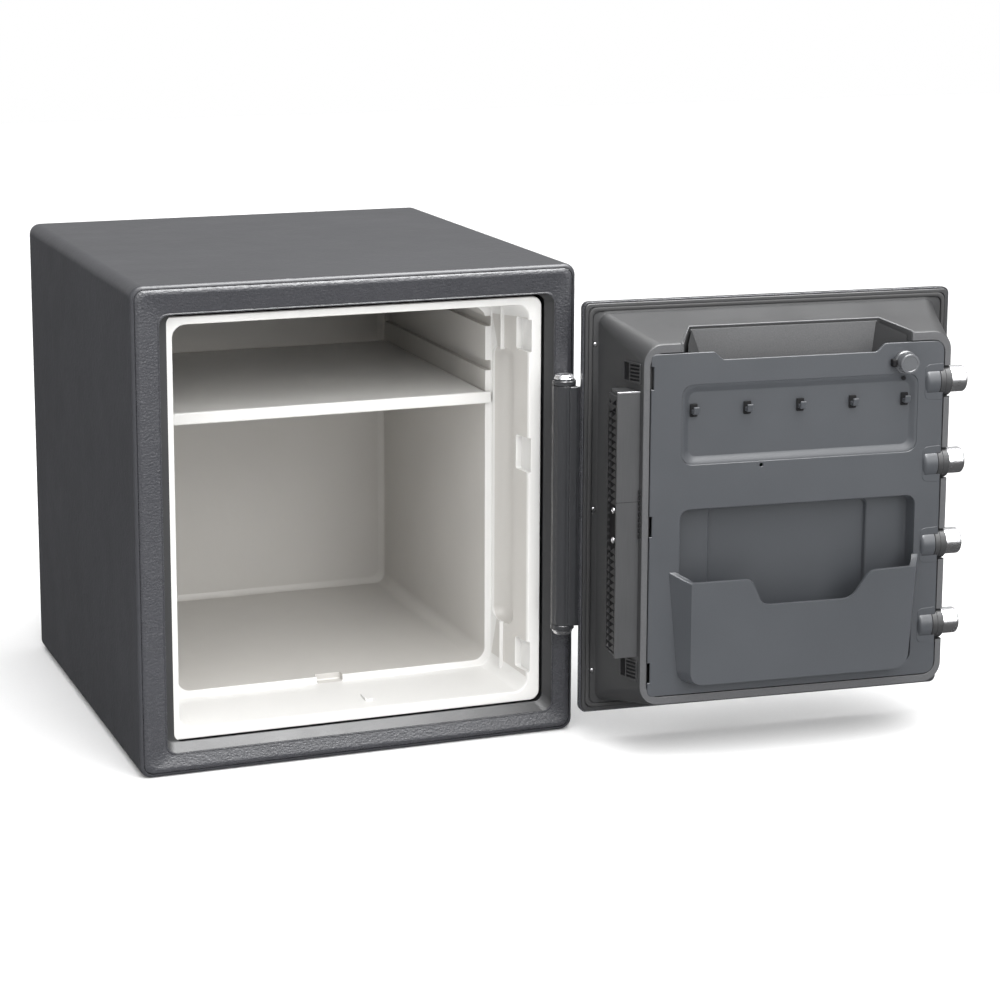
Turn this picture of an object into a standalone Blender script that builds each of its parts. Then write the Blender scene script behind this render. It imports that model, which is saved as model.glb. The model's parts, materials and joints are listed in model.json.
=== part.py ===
"""Fire-resistant home safe, drawn with its door swung open.

Frame: +X to the right as one faces the safe, +Y from the front to the back, +Z up.
The origin is the centre of the body's underside. Lengths are metres.
Depth is measured from the body's front plane towards the back. The door is drawn
closed and then turned about its hinge, so all its sizes below are closed sizes.
"""
import math

import bmesh
import bpy
from mathutils import Matrix, Vector

# Driving dimensions: body
BODY_WIDTH = 0.424
BODY_HEIGHT = 0.453
BODY_DEPTH = 0.455
SHELL_WALL = 0.0015
EDGE_RADIUS = 0.011
SHELL_START = 0.008
GAP = 0.0003

# Front opening, liner and interior
OPENING_HALF = 0.186
OPENING_LOW = 0.0255
OPENING_HIGH = 0.424
LINER_WALL = 0.0025
LINER_START = 0.016
JAMB_END = 0.087
CAVITY_START = 0.088
CAVITY_END = 0.395
CAVITY_HALF = 0.154
CAVITY_LOW = 0.0515
CAVITY_HIGH = 0.4015

# Shelf and the slots it slides in
SHELF_TOP = 0.3198
SHELF_HEIGHT = 0.0115
SHELF_HALF = 0.1532
SHELF_LIP_HALF = 0.1590
SHELF_FRONT = 0.0825
SHELF_BACK = 0.385
RUNNER_HEIGHT = 0.0089
SLOT_FLOORS = (0.3078, 0.3398, 0.3828)
SLOT_HEIGHT = 0.0101
SLOT_HALF = 0.1596
SLOT_BACK = 0.3885

# Hinge
HINGE_X = 0.1945
HINGE_OUT = 0.0135
HINGE_RADIUS = 0.0112
PIN_RADIUS = 0.004
HINGE_LOW = 0.1065
HINGE_HIGH = 0.3465
KNUCKLE = 0.0047
OPEN_ANGLE = math.radians(175.3)

# Door
FLANGE_HALF = 0.184
FLANGE_LOW = 0.029
FLANGE_HIGH = 0.4225
FLANGE_DEPTH = 0.0105
PANEL_FACE = 0.0773
PLUG_BASE = (-0.1665, 0.1685, 0.041, 0.411)
PLUG_FACE = (-0.1568, 0.1488, 0.052, 0.393)
WEB_FRONT = 0.041
WEB_BACK = 0.0465
PANEL_BOX = (-0.1495, 0.1415, 0.0605, 0.384)

# Boltwork
BOLT_HEIGHTS = (0.3445, 0.266, 0.1875, 0.109)
BOLT_RADIUS = 0.0125
BOLT_DEPTH = 0.067
BOLT_TIP = -0.178
BOLT_ROOT = -0.143
BOLT_SHANK = 0.006
SHANK_RADIUS = 0.007
BOLT_THROW = 0.016
BAR_BACK = 0.0495
BAR_FRONT = 0.0525

# Handle
HANDLE_X = -0.105
HANDLE_Z = 0.2265
HANDLE_TURN = math.radians(80)
SPINDLE_RADIUS = 0.004
CRANK = BOLT_THROW / (2 * math.sin(HANDLE_TURN / 2))
PEG_RADIUS = 0.0025

# Keypad
KEYPAD_X = 0.045
KEYPAD_HALF = 0.048
KEYPAD_LOW = 0.170
KEYPAD_HIGH = 0.335
KEYPAD_FRONT = -0.0225
BUTTON_TOP_Z = 0.315
BUTTON_PITCH_X = 0.027
BUTTON_PITCH_Z = 0.022
BUTTON_HALF_X = 0.0105
BUTTON_HALF_Z = 0.00725
LOCK_Z = 0.218

# Inner face of the door
HOOK_HEIGHT = 0.330
HOOK_FIRST_X = 0.0986
HOOK_PITCH = 0.0523
LIGHT_X = -0.1087
LIGHT_Z = 0.365

FINISHES = {
    "painted_shell": ((0.105, 0.106, 0.112), 0.42, 0.6),
    "textured_frame": ((0.125, 0.126, 0.132), 0.5, 0.5),
    "liner_white": ((0.80, 0.79, 0.76), 0.45, 0.0),
    "fill_grey": ((0.45, 0.44, 0.42), 0.9, 0.0),
    "door_plastic": ((0.060, 0.059, 0.060), 0.45, 0.0),
    "panel_plastic": ((0.105, 0.108, 0.113), 0.45, 0.0),
    "black_steel": ((0.030, 0.031, 0.033), 0.35, 0.7),
    "chrome": ((0.75, 0.75, 0.77), 0.12, 1.0),
    "zinc": ((0.45, 0.45, 0.46), 0.35, 1.0),
    "rubber_black": ((0.015, 0.015, 0.015), 0.8, 0.0),
    "button_grey": ((0.35, 0.36, 0.37), 0.5, 0.0),
    "board_green": ((0.02, 0.12, 0.05), 0.5, 0.0),
    "brass": ((0.60, 0.45, 0.18), 0.3, 1.0),
    "lamp_grey": ((0.16, 0.165, 0.17), 0.35, 0.0),
}


def clear_scene():
    for item in list(bpy.data.objects):
        bpy.data.objects.remove(item, do_unlink=True)


def make_collection(name):
    collection = bpy.data.collections.new(name)
    bpy.context.scene.collection.children.link(collection)
    return collection


clear_scene()
PARTS = make_collection("safe")
CUTTERS = make_collection("cutters")
CUTTERS.hide_render = True


def make_materials():
    made = {}
    for name, (color, roughness, metallic) in FINISHES.items():
        material = bpy.data.materials.new(name)
        material.use_nodes = True
        shader = material.node_tree.nodes["Principled BSDF"]
        shader.inputs["Base Color"].default_value = (*color, 1.0)
        shader.inputs["Roughness"].default_value = roughness
        shader.inputs["Metallic"].default_value = metallic
        material.diffuse_color = (*color, 1.0)
        made[name] = material
    return made


MATERIALS = make_materials()


def at_depth(depth):
    """World y of a point this far behind the body's front plane."""
    return depth - BODY_DEPTH / 2


def add_object(name, mesh, finish):
    """A sub-part with a finish, or a cutter when there is none."""
    item = bpy.data.objects.new(name, mesh)
    if finish is None:
        CUTTERS.objects.link(item)
        item.hide_render = True
        item.display_type = "WIRE"
    else:
        PARTS.objects.link(item)
        mesh.materials.append(MATERIALS[finish])
        mesh.shade_smooth()
        mesh.set_sharp_from_angle(angle=math.radians(35))
    return item


def mesh_from(name, work):
    bmesh.ops.recalc_face_normals(work, faces=work.faces)
    mesh = bpy.data.meshes.new(name)
    work.to_mesh(mesh)
    work.free()
    return mesh


def rounded_rectangle(x_low, x_high, z_low, z_high, radius, steps=4):
    """Corner points of a rounded rectangle in the XZ plane, in one turn."""
    points = []
    corners = (
        (x_high - radius, z_high - radius, 0),
        (x_low + radius, z_high - radius, 90),
        (x_low + radius, z_low + radius, 180),
        (x_high - radius, z_low + radius, 270),
    )
    for x, z, start in corners:
        for step in range(steps + 1):
            angle = math.radians(start + 90 * step / steps)
            points.append((x + radius * math.cos(angle), z + radius * math.sin(angle)))
    return points


def section(box, depth, radius):
    """One loop of a loft: a rounded rectangle (x, x, z, z) standing at a depth."""
    return [(x, at_depth(depth), z) for x, z in rounded_rectangle(*box, radius)]


def loft(name, sections, finish, closed=False):
    """Skin over sections of equal point count: capped at both ends, or a closed ring."""
    work = bmesh.new()
    loops = [[work.verts.new(point) for point in points] for points in sections]
    pairs = list(zip(loops, loops[1:]))
    if closed:
        pairs.append((loops[-1], loops[0]))
    for first, second in pairs:
        for index, vertex in enumerate(first):
            other = (index + 1) % len(first)
            work.faces.new((vertex, first[other], second[other], second[index]))
    if not closed:
        work.faces.new(loops[0])
        work.faces.new(loops[-1])
    return add_object(name, mesh_from(name, work), finish)


def inset_box(box, inset):
    x_low, x_high, z_low, z_high = box
    return (x_low + inset, x_high - inset, z_low + inset, z_high - inset)


def block(name, x_range, depth_range, z_range, finish=None, bevel=0.0):
    """A box given by its x, depth and z ranges, with rounded edges when asked."""
    work = bmesh.new()
    bmesh.ops.create_cube(work, size=1.0)
    size = Vector((x_range[1] - x_range[0], depth_range[1] - depth_range[0], z_range[1] - z_range[0]))
    centre = Vector((sum(x_range) / 2, at_depth(sum(depth_range) / 2), sum(z_range) / 2))
    bmesh.ops.transform(work, matrix=Matrix.Translation(centre) @ Matrix.Diagonal(size).to_4x4(), verts=work.verts)
    item = add_object(name, mesh_from(name, work), finish)
    if bevel:
        rounding = item.modifiers.new("rounding", "BEVEL")
        rounding.width = bevel
        rounding.segments = 2
        rounding.limit_method = "ANGLE"
    return item


def rod(name, axis, radius, centre, low, high, finish=None, sides=24):
    """A cylinder along an axis from low to high; centre gives the other two places.

    Along x the centre is (depth, z), along depth it is (x, z), along z it is (x, depth).
    """
    work = bmesh.new()
    bmesh.ops.create_cone(
        work, cap_ends=True, segments=sides, radius1=radius, radius2=radius, depth=high - low
    )
    middle = (low + high) / 2
    if axis == "x":
        turn = Matrix.Rotation(math.radians(90), 4, "Y")
        place = Vector((middle, at_depth(centre[0]), centre[1]))
    elif axis == "depth":
        turn = Matrix.Rotation(math.radians(90), 4, "X")
        place = Vector((centre[0], at_depth(middle), centre[1]))
    else:
        turn = Matrix.Identity(4)
        place = Vector((centre[0], at_depth(centre[1]), middle))
    bmesh.ops.transform(work, matrix=Matrix.Translation(place) @ turn, verts=work.verts)
    return add_object(name, mesh_from(name, work), finish)


def prism(name, outline, z_low, z_high, finish=None):
    """An (x, depth) outline standing from z_low to z_high."""
    work = bmesh.new()
    base = [work.verts.new((x, at_depth(depth), z_low)) for x, depth in outline]
    foot = work.faces.new(base)
    grown = bmesh.ops.extrude_face_region(work, geom=[foot])
    lifted = [part for part in grown["geom"] if isinstance(part, bmesh.types.BMVert)]
    bmesh.ops.translate(work, vec=(0, 0, z_high - z_low), verts=lifted)
    return add_object(name, mesh_from(name, work), finish)


def turned(name, profile, place, turn, finish, steps=28):
    """A profile of (radius, height), top to bottom down its outer side, spun about z."""
    mesh = bpy.data.meshes.new(name)
    points = [(radius, 0, height) for radius, height in profile]
    edges = [(index, index + 1) for index in range(len(points) - 1)]
    mesh.from_pydata(points, edges, [])
    item = add_object(name, mesh, finish)
    spin = item.modifiers.new("spin", "SCREW")
    spin.steps = steps
    spin.render_steps = steps
    spin.use_merge_vertices = True
    spin.merge_threshold = 0.00001
    item.matrix_world = Matrix.Translation(place) @ turn
    return item


OUTWARD = Matrix.Rotation(math.radians(90), 4, "X")
INWARD = Matrix.Rotation(math.radians(-90), 4, "X")


def combine(piece, other, operation):
    step = piece.modifiers.new(operation.lower(), "BOOLEAN")
    step.operation = operation
    step.solver = "EXACT"
    step.object = other


def cut(piece, *cutters):
    for cutter in cutters:
        combine(piece, cutter, "DIFFERENCE")


def weld(piece, *others):
    for other in others:
        combine(piece, other, "UNION")


def joint_axis(name, place, parent=None):
    """An empty on a joint's axis, which carries what moves about it."""
    axis = bpy.data.objects.new(name, None)
    PARTS.objects.link(axis)
    axis.location = place
    if parent is not None:
        carry(parent, axis)
    return axis


def carry(parent, *items):
    """Hang items, with their cutters, on a parent that hasn't been turned yet."""
    bpy.context.view_layer.update()
    for item in items:
        tools = [step.object for step in getattr(item, "modifiers", []) if step.type == "BOOLEAN"]
        for piece in (item, *tools):
            piece.parent = parent
            piece.matrix_parent_inverse = parent.matrix_world.inverted()


# ---------------------------------------------------------------- body

BODY_BOX = (-BODY_WIDTH / 2, BODY_WIDTH / 2, 0.0, BODY_HEIGHT)
LINER_FLANGE = (-0.1835, 0.1835, 0.0285, 0.4215)
LINER_MOUTH = (-0.171, 0.171, 0.0385, 0.414)
JAMB_BOX = (-0.166, 0.1605, 0.0450, 0.4085)
CAVITY_BOX = (-CAVITY_HALF, CAVITY_HALF, CAVITY_LOW, CAVITY_HIGH)
BAR_POCKET_Z = (0.095, 0.355)
SLOTS = [(low, side) for low in SLOT_FLOORS for side in (-1, 1)]
STRIKE_Z = (0.088, 0.366)


def make_outer_shell():
    """Steel wrap with a rounded back, open at the front."""
    outer = [section(BODY_BOX, SHELL_START, EDGE_RADIUS)]
    inner = [section(inset_box(BODY_BOX, SHELL_WALL), SHELL_START, EDGE_RADIUS - SHELL_WALL)]
    for step in range(5):
        angle = math.radians(90 * step / 4)
        inset = EDGE_RADIUS * (1 - math.cos(angle))
        reach = EDGE_RADIUS * (1 - math.sin(angle))
        corner = max(EDGE_RADIUS - inset, 0.0006)
        outer.append(section(inset_box(BODY_BOX, inset), BODY_DEPTH - reach, corner))
        small = EDGE_RADIUS - SHELL_WALL
        inset = SHELL_WALL + small * (1 - math.cos(angle))
        corner = max(EDGE_RADIUS - inset, 0.0005)
        depth = BODY_DEPTH - SHELL_WALL - small * (1 - math.sin(angle))
        inner.append(section(inset_box(BODY_BOX, inset), depth, corner))
    return loft("outer_shell", outer[::-1] + inner, "painted_shell")


def frame_box(inset):
    """Rectangle between the body's outline and the front opening."""
    share = inset / (BODY_WIDTH / 2 - OPENING_HALF)
    low = OPENING_LOW * share
    high = BODY_HEIGHT + (OPENING_HIGH - BODY_HEIGHT) * share
    return (-BODY_WIDTH / 2 + inset, BODY_WIDTH / 2 - inset, low, high)


def make_front_frame():
    """Folded steel frame: rounded outer edge, face sloping in to the opening."""
    side = BODY_WIDTH / 2 - OPENING_HALF
    profile = (
        (0.0, SHELL_START - GAP, 0.011),
        (0.0, 0.0042, 0.011),
        (0.0013, 0.0013, 0.0105),
        (0.0042, 0.0, 0.010),
        (side - 0.003, 0.0022, 0.009),
        (side - 0.0008, 0.0032, 0.0095),
        (side, 0.0055, 0.010),
        (side, 0.030, 0.010),
        (side - 0.0015, 0.030, 0.0115),
        (side - 0.0015, 0.0065, 0.0115),
        (0.0048, 0.0032, 0.009),
        (0.0033, 0.0050, 0.009),
        (0.0033, 0.021, 0.009),
        (0.0018 + 0.0002, 0.021, 0.009),
        (0.0018 + 0.0002, SHELL_START - GAP, 0.009),
    )
    loops = [section(frame_box(inset), depth, radius) for inset, depth, radius in profile]
    return loft("front_frame", loops, "textured_frame", closed=True)


def make_liner():
    """One-piece white liner with a flange, shelf slots and side pockets."""
    inner = [
        section(LINER_MOUTH, LINER_START, 0.012),
        section(JAMB_BOX, JAMB_END, 0.012),
        section(CAVITY_BOX, CAVITY_START, 0.012),
        section(CAVITY_BOX, CAVITY_END - 0.004, 0.012),
        section(inset_box(CAVITY_BOX, 0.004), CAVITY_END, 0.009),
    ]
    wall = -LINER_WALL
    outer = [
        section(LINER_FLANGE, LINER_START, 0.009),
        section(LINER_FLANGE, LINER_START + LINER_WALL, 0.009),
        section(inset_box(LINER_MOUTH, wall), LINER_START + LINER_WALL, 0.0135),
        section(inset_box(JAMB_BOX, wall), JAMB_END + LINER_WALL, 0.0135),
        section(inset_box(CAVITY_BOX, wall), CAVITY_START + LINER_WALL, 0.0135),
        section(inset_box(CAVITY_BOX, wall), CAVITY_END, 0.0135),
        section(inset_box(CAVITY_BOX, wall + 0.004), CAVITY_END + LINER_WALL, 0.010),
    ]
    liner = loft("liner", outer[::-1] + inner, "liner_white")
    for low, side in SLOTS:
        walls = sorted((side * (CAVITY_HALF + 0.001), side * (SLOT_HALF + 0.0024)))
        weld(liner, block("slot_wall", walls, (JAMB_END + 0.0015, SLOT_BACK + 0.0024),
                          (low - 0.0024, low + SLOT_HEIGHT + 0.0024)))
    bar_wall = ((0.1690, 0.043), (0.1790, 0.043), (0.1790, 0.0895), (0.1625, 0.0895))
    weld(liner, prism("bar_pocket_wall", bar_wall, BAR_POCKET_Z[0] - 0.003, BAR_POCKET_Z[1] + 0.003))
    weld(liner, block("strike_pocket_wall", (-0.1855, -0.1668), (0.045, 0.0855),
                      (STRIKE_Z[0] - 0.003, STRIKE_Z[1] + 0.003)))
    cut(liner, block("bar_pocket", (0.150, 0.1765), (0.0455, 0.0825), BAR_POCKET_Z))
    cut(liner, block("strike_pocket", (-0.183, -0.150), (0.0475, 0.083), STRIKE_Z))
    for low, side in SLOTS:
        room = sorted((side * 0.150, side * SLOT_HALF))
        cut(liner, block("shelf_slot", room, (JAMB_END - 0.010, SLOT_BACK), (low, low + SLOT_HEIGHT)))
    return liner


def make_body_fill():
    """Cast insulation between the shell and the liner."""
    room = SHELL_WALL + 0.0005
    outer = [
        section(inset_box(BODY_BOX, 0.0042), 0.0225, 0.008),
        section(inset_box(BODY_BOX, 0.0042), BODY_DEPTH - 0.014, 0.008),
        section(inset_box(BODY_BOX, room + 0.010), BODY_DEPTH - room, 0.006),
    ]
    around_frame = (-0.1880, 0.1880, 0.0232, 0.4265)
    wide = (-0.1748, 0.1748, 0.0350, 0.4180)
    close = inset_box(CAVITY_BOX, -LINER_WALL - 0.0005)
    inner = [
        section(around_frame, 0.0225, 0.011),
        section(around_frame, 0.0305, 0.011),
        section(wide, 0.0310, 0.0135),
        section(wide, 0.0920, 0.0135),
        section(close, 0.0925, 0.0135),
        section(close, CAVITY_END + LINER_WALL + 0.0005, 0.0135),
    ]
    fill = loft("body_fill", outer[::-1] + inner, "fill_grey")
    cut(fill, block("bar_pocket_room", (0.150, 0.1796), (0.040, 0.0912), (0.0912, 0.3588)))
    cut(fill, block("strike_pocket_room", (-0.1861, -0.150), (0.040, 0.0912), (0.0842, 0.3698)))
    for low, side in SLOTS:
        room = sorted((side * 0.150, side * (SLOT_HALF + 0.003)))
        cut(fill, block("slot_room", room, (0.080, SLOT_BACK + 0.003),
                        (low - 0.003, low + SLOT_HEIGHT + 0.003)))
    return fill


def make_strike_plate():
    """Steel strip that the extended bolts stand behind."""
    return block("strike_plate", (-0.1827, -0.1700), (0.0478, 0.0498),
                 (STRIKE_Z[0] + GAP, STRIKE_Z[1] - GAP), "zinc")


def make_shelf():
    """Plastic shelf with a front lip and side runners, hollow underneath."""
    low = SHELF_TOP - SHELF_HEIGHT
    shelf = block("shelf", (-SHELF_HALF, SHELF_HALF), (SHELF_FRONT + 0.001, SHELF_BACK), (low, SHELF_TOP),
                  "liner_white")
    weld(shelf, block("shelf_lip", (-SHELF_LIP_HALF, SHELF_LIP_HALF), (SHELF_FRONT, JAMB_END - 0.0005),
                      (low, SHELF_TOP), bevel=0.0018))
    weld(shelf, block("shelf_runners", (0.0010 - SHELF_LIP_HALF, SHELF_LIP_HALF - 0.0010),
                      (SHELF_FRONT + 0.001, SHELF_BACK - 0.001), (low, low + RUNNER_HEIGHT)))
    cut(shelf, block("shelf_underside", (-SHELF_HALF + 0.003, SHELF_HALF - 0.003),
                     (SHELF_FRONT + 0.004, SHELF_BACK - 0.003), (low - 0.005, SHELF_TOP - 0.003)))
    return shelf


def make_hinge():
    """Bracket with two end knuckles on the body, the pin, and its domed caps."""
    centre = (HINGE_X, -HINGE_OUT)
    leaf_x = (HINGE_X + 0.001, HINGE_X + 0.0085)
    bracket = block("hinge_bracket", leaf_x, (-0.0019, -GAP), (HINGE_LOW, HINGE_HIGH), "black_steel")
    bores = []
    for low in (HINGE_LOW, HINGE_HIGH - KNUCKLE):
        weld(bracket, block("knuckle_web", (HINGE_X + 0.001, HINGE_X + 0.0105), (-HINGE_OUT, -0.0008),
                            (low, low + KNUCKLE)))
        weld(bracket, rod("knuckle", "z", HINGE_RADIUS, centre, low, low + KNUCKLE))
        bores.append(rod("knuckle_bore", "z", PIN_RADIUS + GAP, centre, low - 0.002, low + KNUCKLE + 0.002))
    cut(bracket, *bores)
    pin = rod("hinge_pin", "z", PIN_RADIUS, centre, HINGE_LOW + 0.0001, HINGE_HIGH - 0.0001, "zinc")
    dome = ((0.0, 0.0046), (0.0040, 0.0042), (0.0072, 0.0030), (0.0092, 0.0), (0.0, 0.0))
    top = turned("hinge_cap_top", dome, (HINGE_X, at_depth(-HINGE_OUT), HINGE_HIGH + GAP),
                 Matrix.Identity(4), "chrome")
    bottom = turned("hinge_cap_bottom", dome, (HINGE_X, at_depth(-HINGE_OUT), HINGE_LOW - GAP),
                    Matrix.Rotation(math.pi, 4, "X"), "chrome")
    return bracket, pin, top, bottom


# ---------------------------------------------------------------- door

DOOR_BOX = (-FLANGE_HALF, FLANGE_HALF, FLANGE_LOW, FLANGE_HIGH)
POCKET_BOX = (-0.1475, 0.1395, 0.0630, 0.3465)


def make_door_outer_panel():
    """Pressed steel pan that covers the door's outside."""
    wall = 0.0012
    outer = [
        section(DOOR_BOX, 0.0095, 0.006),
        section(DOOR_BOX, 0.0030, 0.006),
        section(inset_box(DOOR_BOX, 0.0009), 0.0009, 0.0055),
        section(inset_box(DOOR_BOX, 0.0030), 0.0, 0.004),
    ]
    inner = [
        section(inset_box(DOOR_BOX, wall), 0.0095, 0.005),
        section(inset_box(DOOR_BOX, wall), 0.0030, 0.005),
        section(inset_box(DOOR_BOX, 0.0033), wall, 0.0035),
    ]
    panel = loft("door_outer_panel", outer[::-1] + inner, "textured_frame")
    cut(panel, rod("panel_spindle_hole", "depth", 0.0055, (HANDLE_X, HANDLE_Z), -0.01, 0.01))
    cut(panel, rod("panel_cable_hole", "depth", 0.0035, (KEYPAD_X, 0.329), -0.01, 0.01))
    return panel


def make_door_fill():
    """Cast insulation inside the door."""
    box = (-0.1497, 0.1497, 0.0563, 0.3947)
    fill = loft("door_fill", [section(box, 0.0018, 0.010), section(box, WEB_FRONT - GAP, 0.010)],
                "fill_grey")
    cut(fill, rod("fill_spindle_hole", "depth", 0.0055, (HANDLE_X, HANDLE_Z), -0.01, 0.06))
    cut(fill, rod("fill_cable_hole", "depth", 0.0035, (KEYPAD_X, 0.329), -0.01, 0.06))
    return fill


def make_door_plug():
    """Moulded inner door: flange, tapered plug, mechanism pocket and top tray."""
    flange = inset_box(DOOR_BOX, 0.0015)
    plug = loft("door_plug", [
        section(inset_box(flange, 0.0030), 0.0015, 0.004),
        section(flange, 0.0035, 0.005),
        section(flange, FLANGE_DEPTH - 0.001, 0.005),
        section(inset_box(flange, 0.001), FLANGE_DEPTH, 0.005),
        section(PLUG_BASE, FLANGE_DEPTH, 0.010),
        section(PLUG_FACE, PANEL_FACE - 0.002, 0.015),
        section(inset_box(PLUG_FACE, 0.0015), PANEL_FACE, 0.0135),
    ], "door_plastic")
    fill_box = (-0.150, 0.150, 0.056, 0.395)
    cut(plug, loft("fill_pocket", [section(fill_box, -0.005, 0.010), section(fill_box, WEB_FRONT, 0.010)], None))
    cut(plug, loft("mechanism_pocket", [section(POCKET_BOX, WEB_BACK, 0.010),
                                        section(POCKET_BOX, 0.085, 0.010)], None))
    cut(plug, block("top_bolt_room", (-0.1473, -0.1250), (WEB_BACK, 0.085), (0.330, 0.3590)))
    cut(plug, loft("panel_seat", [section(PANEL_BOX, PANEL_FACE - 0.0033, 0.012),
                                  section(PANEL_BOX, 0.085, 0.012)], None))
    tray = ((0.0930, 0.0440), (0.1165, 0.0850), (-0.1230, 0.0850), (-0.0960, 0.0440))
    cut(plug, prism("tray_room", tray, 0.352, 0.430))
    groove_out = (-0.1795, 0.1795, 0.0335, 0.4180)
    groove = [
        section(groove_out, 0.0075, 0.008),
        section(groove_out, 0.0150, 0.008),
        section(inset_box(groove_out, 0.0045), 0.0150, 0.006),
        section(inset_box(groove_out, 0.0045), 0.0075, 0.006),
    ]
    cut(plug, loft("seal_groove", groove, None, closed=True))
    for height in BOLT_HEIGHTS:
        cut(plug, rod("bolt_notch", "x", 0.0158, (BOLT_DEPTH, height), -0.175, -0.1400, sides=32))
        cut(plug, block("bolt_notch_mouth", (-0.175, -0.1400), (BOLT_DEPTH, 0.090),
                        (height - 0.0145, height + 0.0145)))
    cut(plug, rod("web_spindle_hole", "depth", 0.0055, (HANDLE_X, HANDLE_Z), 0.03, 0.06))
    cut(plug, rod("web_cable_hole", "depth", 0.0035, (KEYPAD_X, 0.329), 0.03, 0.06))
    return plug


def make_door_gasket():
    """Seal ring in the flange's groove."""
    outer = (-0.1790, 0.1790, 0.0340, 0.4175)
    loops = [
        section(outer, 0.0078, 0.0075),
        section(outer, 0.0130, 0.0075),
        section(inset_box(outer, 0.0010), 0.0152, 0.0070),
        section(inset_box(outer, 0.0025), 0.0152, 0.0065),
        section(inset_box(outer, 0.0035), 0.0130, 0.0060),
        section(inset_box(outer, 0.0035), 0.0078, 0.0060),
    ]
    return loft("door_gasket", loops, "rubber_black", closed=True)


def plug_side(depth):
    """Half of the plug's hinge side at a depth: its x on the taper."""
    share = (depth - FLANGE_DEPTH) / (PANEL_FACE - 0.002 - FLANGE_DEPTH)
    return PLUG_BASE[1] + (PLUG_FACE[1] - PLUG_BASE[1]) * share


def make_hinge_bar():
    """Fixed dead bar on the hinge side, which enters the liner's pocket."""
    low, high = 0.050, 0.0725
    outer_x = 0.1712
    outline = (
        (plug_side(low) + 0.0006, low),
        (outer_x, low),
        (outer_x, high),
        (plug_side(high) + 0.0006, high),
    )
    bar = prism("hinge_bar", outline, 0.099, 0.349, "black_steel")
    rounding = bar.modifiers.new("rounding", "BEVEL")
    rounding.width = 0.0012
    rounding.segments = 2
    head = ((0.0, 0.0016), (0.0022, 0.0014), (0.0035, 0.0), (0.0, 0.0))
    screws = []
    for name, height in (("hinge_bar_screw_upper", 0.238), ("hinge_bar_screw_lower", 0.210)):
        place = (outer_x + GAP, at_depth(0.0612), height)
        screws.append(turned(name, head, place, Matrix.Rotation(math.radians(90), 4, "Y"), "chrome", steps=16))
    return bar, *screws


def make_door_hinge_leaf():
    """Long sleeve on the pin with a leaf on the door's outside."""
    centre = (HINGE_X, -HINGE_OUT)
    low = HINGE_LOW + KNUCKLE + GAP
    high = HINGE_HIGH - KNUCKLE - GAP
    sleeve = rod("door_hinge_leaf", "z", HINGE_RADIUS, centre, low, high, "black_steel", sides=32)
    weld(sleeve, block("leaf", (HINGE_X - 0.052, HINGE_X), (-0.0033, -GAP), (low, high)))
    cut(sleeve, rod("sleeve_bore", "z", PIN_RADIUS + GAP, centre, low - 0.002, high + 0.002))
    return sleeve


def make_inner_panel():
    """Cover of the mechanism pocket with a document recess and bolt housings."""
    box = inset_box(PANEL_BOX, 0.0006)
    face = PANEL_FACE + 0.0008
    panel = loft("inner_panel", [
        section(box, PANEL_FACE - 0.0030, 0.0115),
        section(box, face - 0.0010, 0.0115),
        section(inset_box(box, 0.0010), face, 0.0105),
    ], "panel_plastic")
    weld(panel, block("recess_wall", (-0.1250, 0.1125), (0.0600, PANEL_FACE - 0.002), (0.0705, 0.2385)))
    for height in BOLT_HEIGHTS:
        weld(panel, rod("housing", "x", 0.0152, (BOLT_DEPTH, height), -0.1483, -0.1310, sides=32))
    cut(panel, block("document_recess", (-0.1235, 0.1105), (0.0620, 0.090), (0.0740, 0.2365), bevel=0.004))
    cut(panel, block("key_recess", (-0.1210, 0.1095), (face - 0.0012, 0.090), (0.2810, 0.3515), bevel=0.004))
    for height in BOLT_HEIGHTS:
        cut(panel, rod("housing_bore", "x", 0.0137, (BOLT_DEPTH, height), -0.1520, -0.1325, sides=32))
    cut(panel, block("bolt_room", (-0.1600, -0.1262), (0.040, PANEL_FACE - 0.0029), (0.085, 0.370)))
    cut(panel, block("tray_lip", (-0.0850, 0.0745), (0.070, 0.090), (0.3758, 0.400), bevel=0.006))
    return panel


def make_document_pocket():
    """Open-topped pocket with a thumb dip, in front of the document recess."""
    start = PANEL_FACE + 0.0008 + GAP
    low, high = 0.0727, 0.1705
    foot = (-0.1235, 0.1125, low, high)
    pocket = loft("document_pocket", [
        section(foot, start, 0.007),
        section(foot, start + 0.0120, 0.007),
        section(inset_box(foot, 0.0010), start + 0.0150, 0.0065),
        section(inset_box(foot, 0.0035), start + 0.0165, 0.0045),
    ], "panel_plastic")
    cut(pocket, block("pocket_room", (-0.1213, 0.1103), (0.060, start + 0.0143), (low + 0.0022, 0.200)))
    cut(pocket, block("thumb_dip", (-0.0730, 0.0420), (0.060, 0.120), (0.1450, 0.200), bevel=0.010))
    return pocket


def make_key_hooks():
    """Five hooks in a row above the document pocket."""
    seat = PANEL_FACE - 0.0004 + GAP
    hooks = []
    for index in range(5):
        x = HOOK_FIRST_X - index * HOOK_PITCH
        hook = block(f"key_hook_{index + 1}", (x - 0.0025, x + 0.0025), (seat, seat + 0.0085),
                     (HOOK_HEIGHT - 0.0030, HOOK_HEIGHT), "panel_plastic")
        weld(hook, block("hook_root", (x - 0.0034, x + 0.0034), (seat, seat + 0.0018),
                         (HOOK_HEIGHT - 0.0060, HOOK_HEIGHT + 0.0050)))
        weld(hook, block("hook_tip", (x - 0.0025, x + 0.0025), (seat + 0.0062, seat + 0.0086),
                         (HOOK_HEIGHT - 0.0029, HOOK_HEIGHT + 0.0040)))
        hooks.append(hook)
    return hooks


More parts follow.
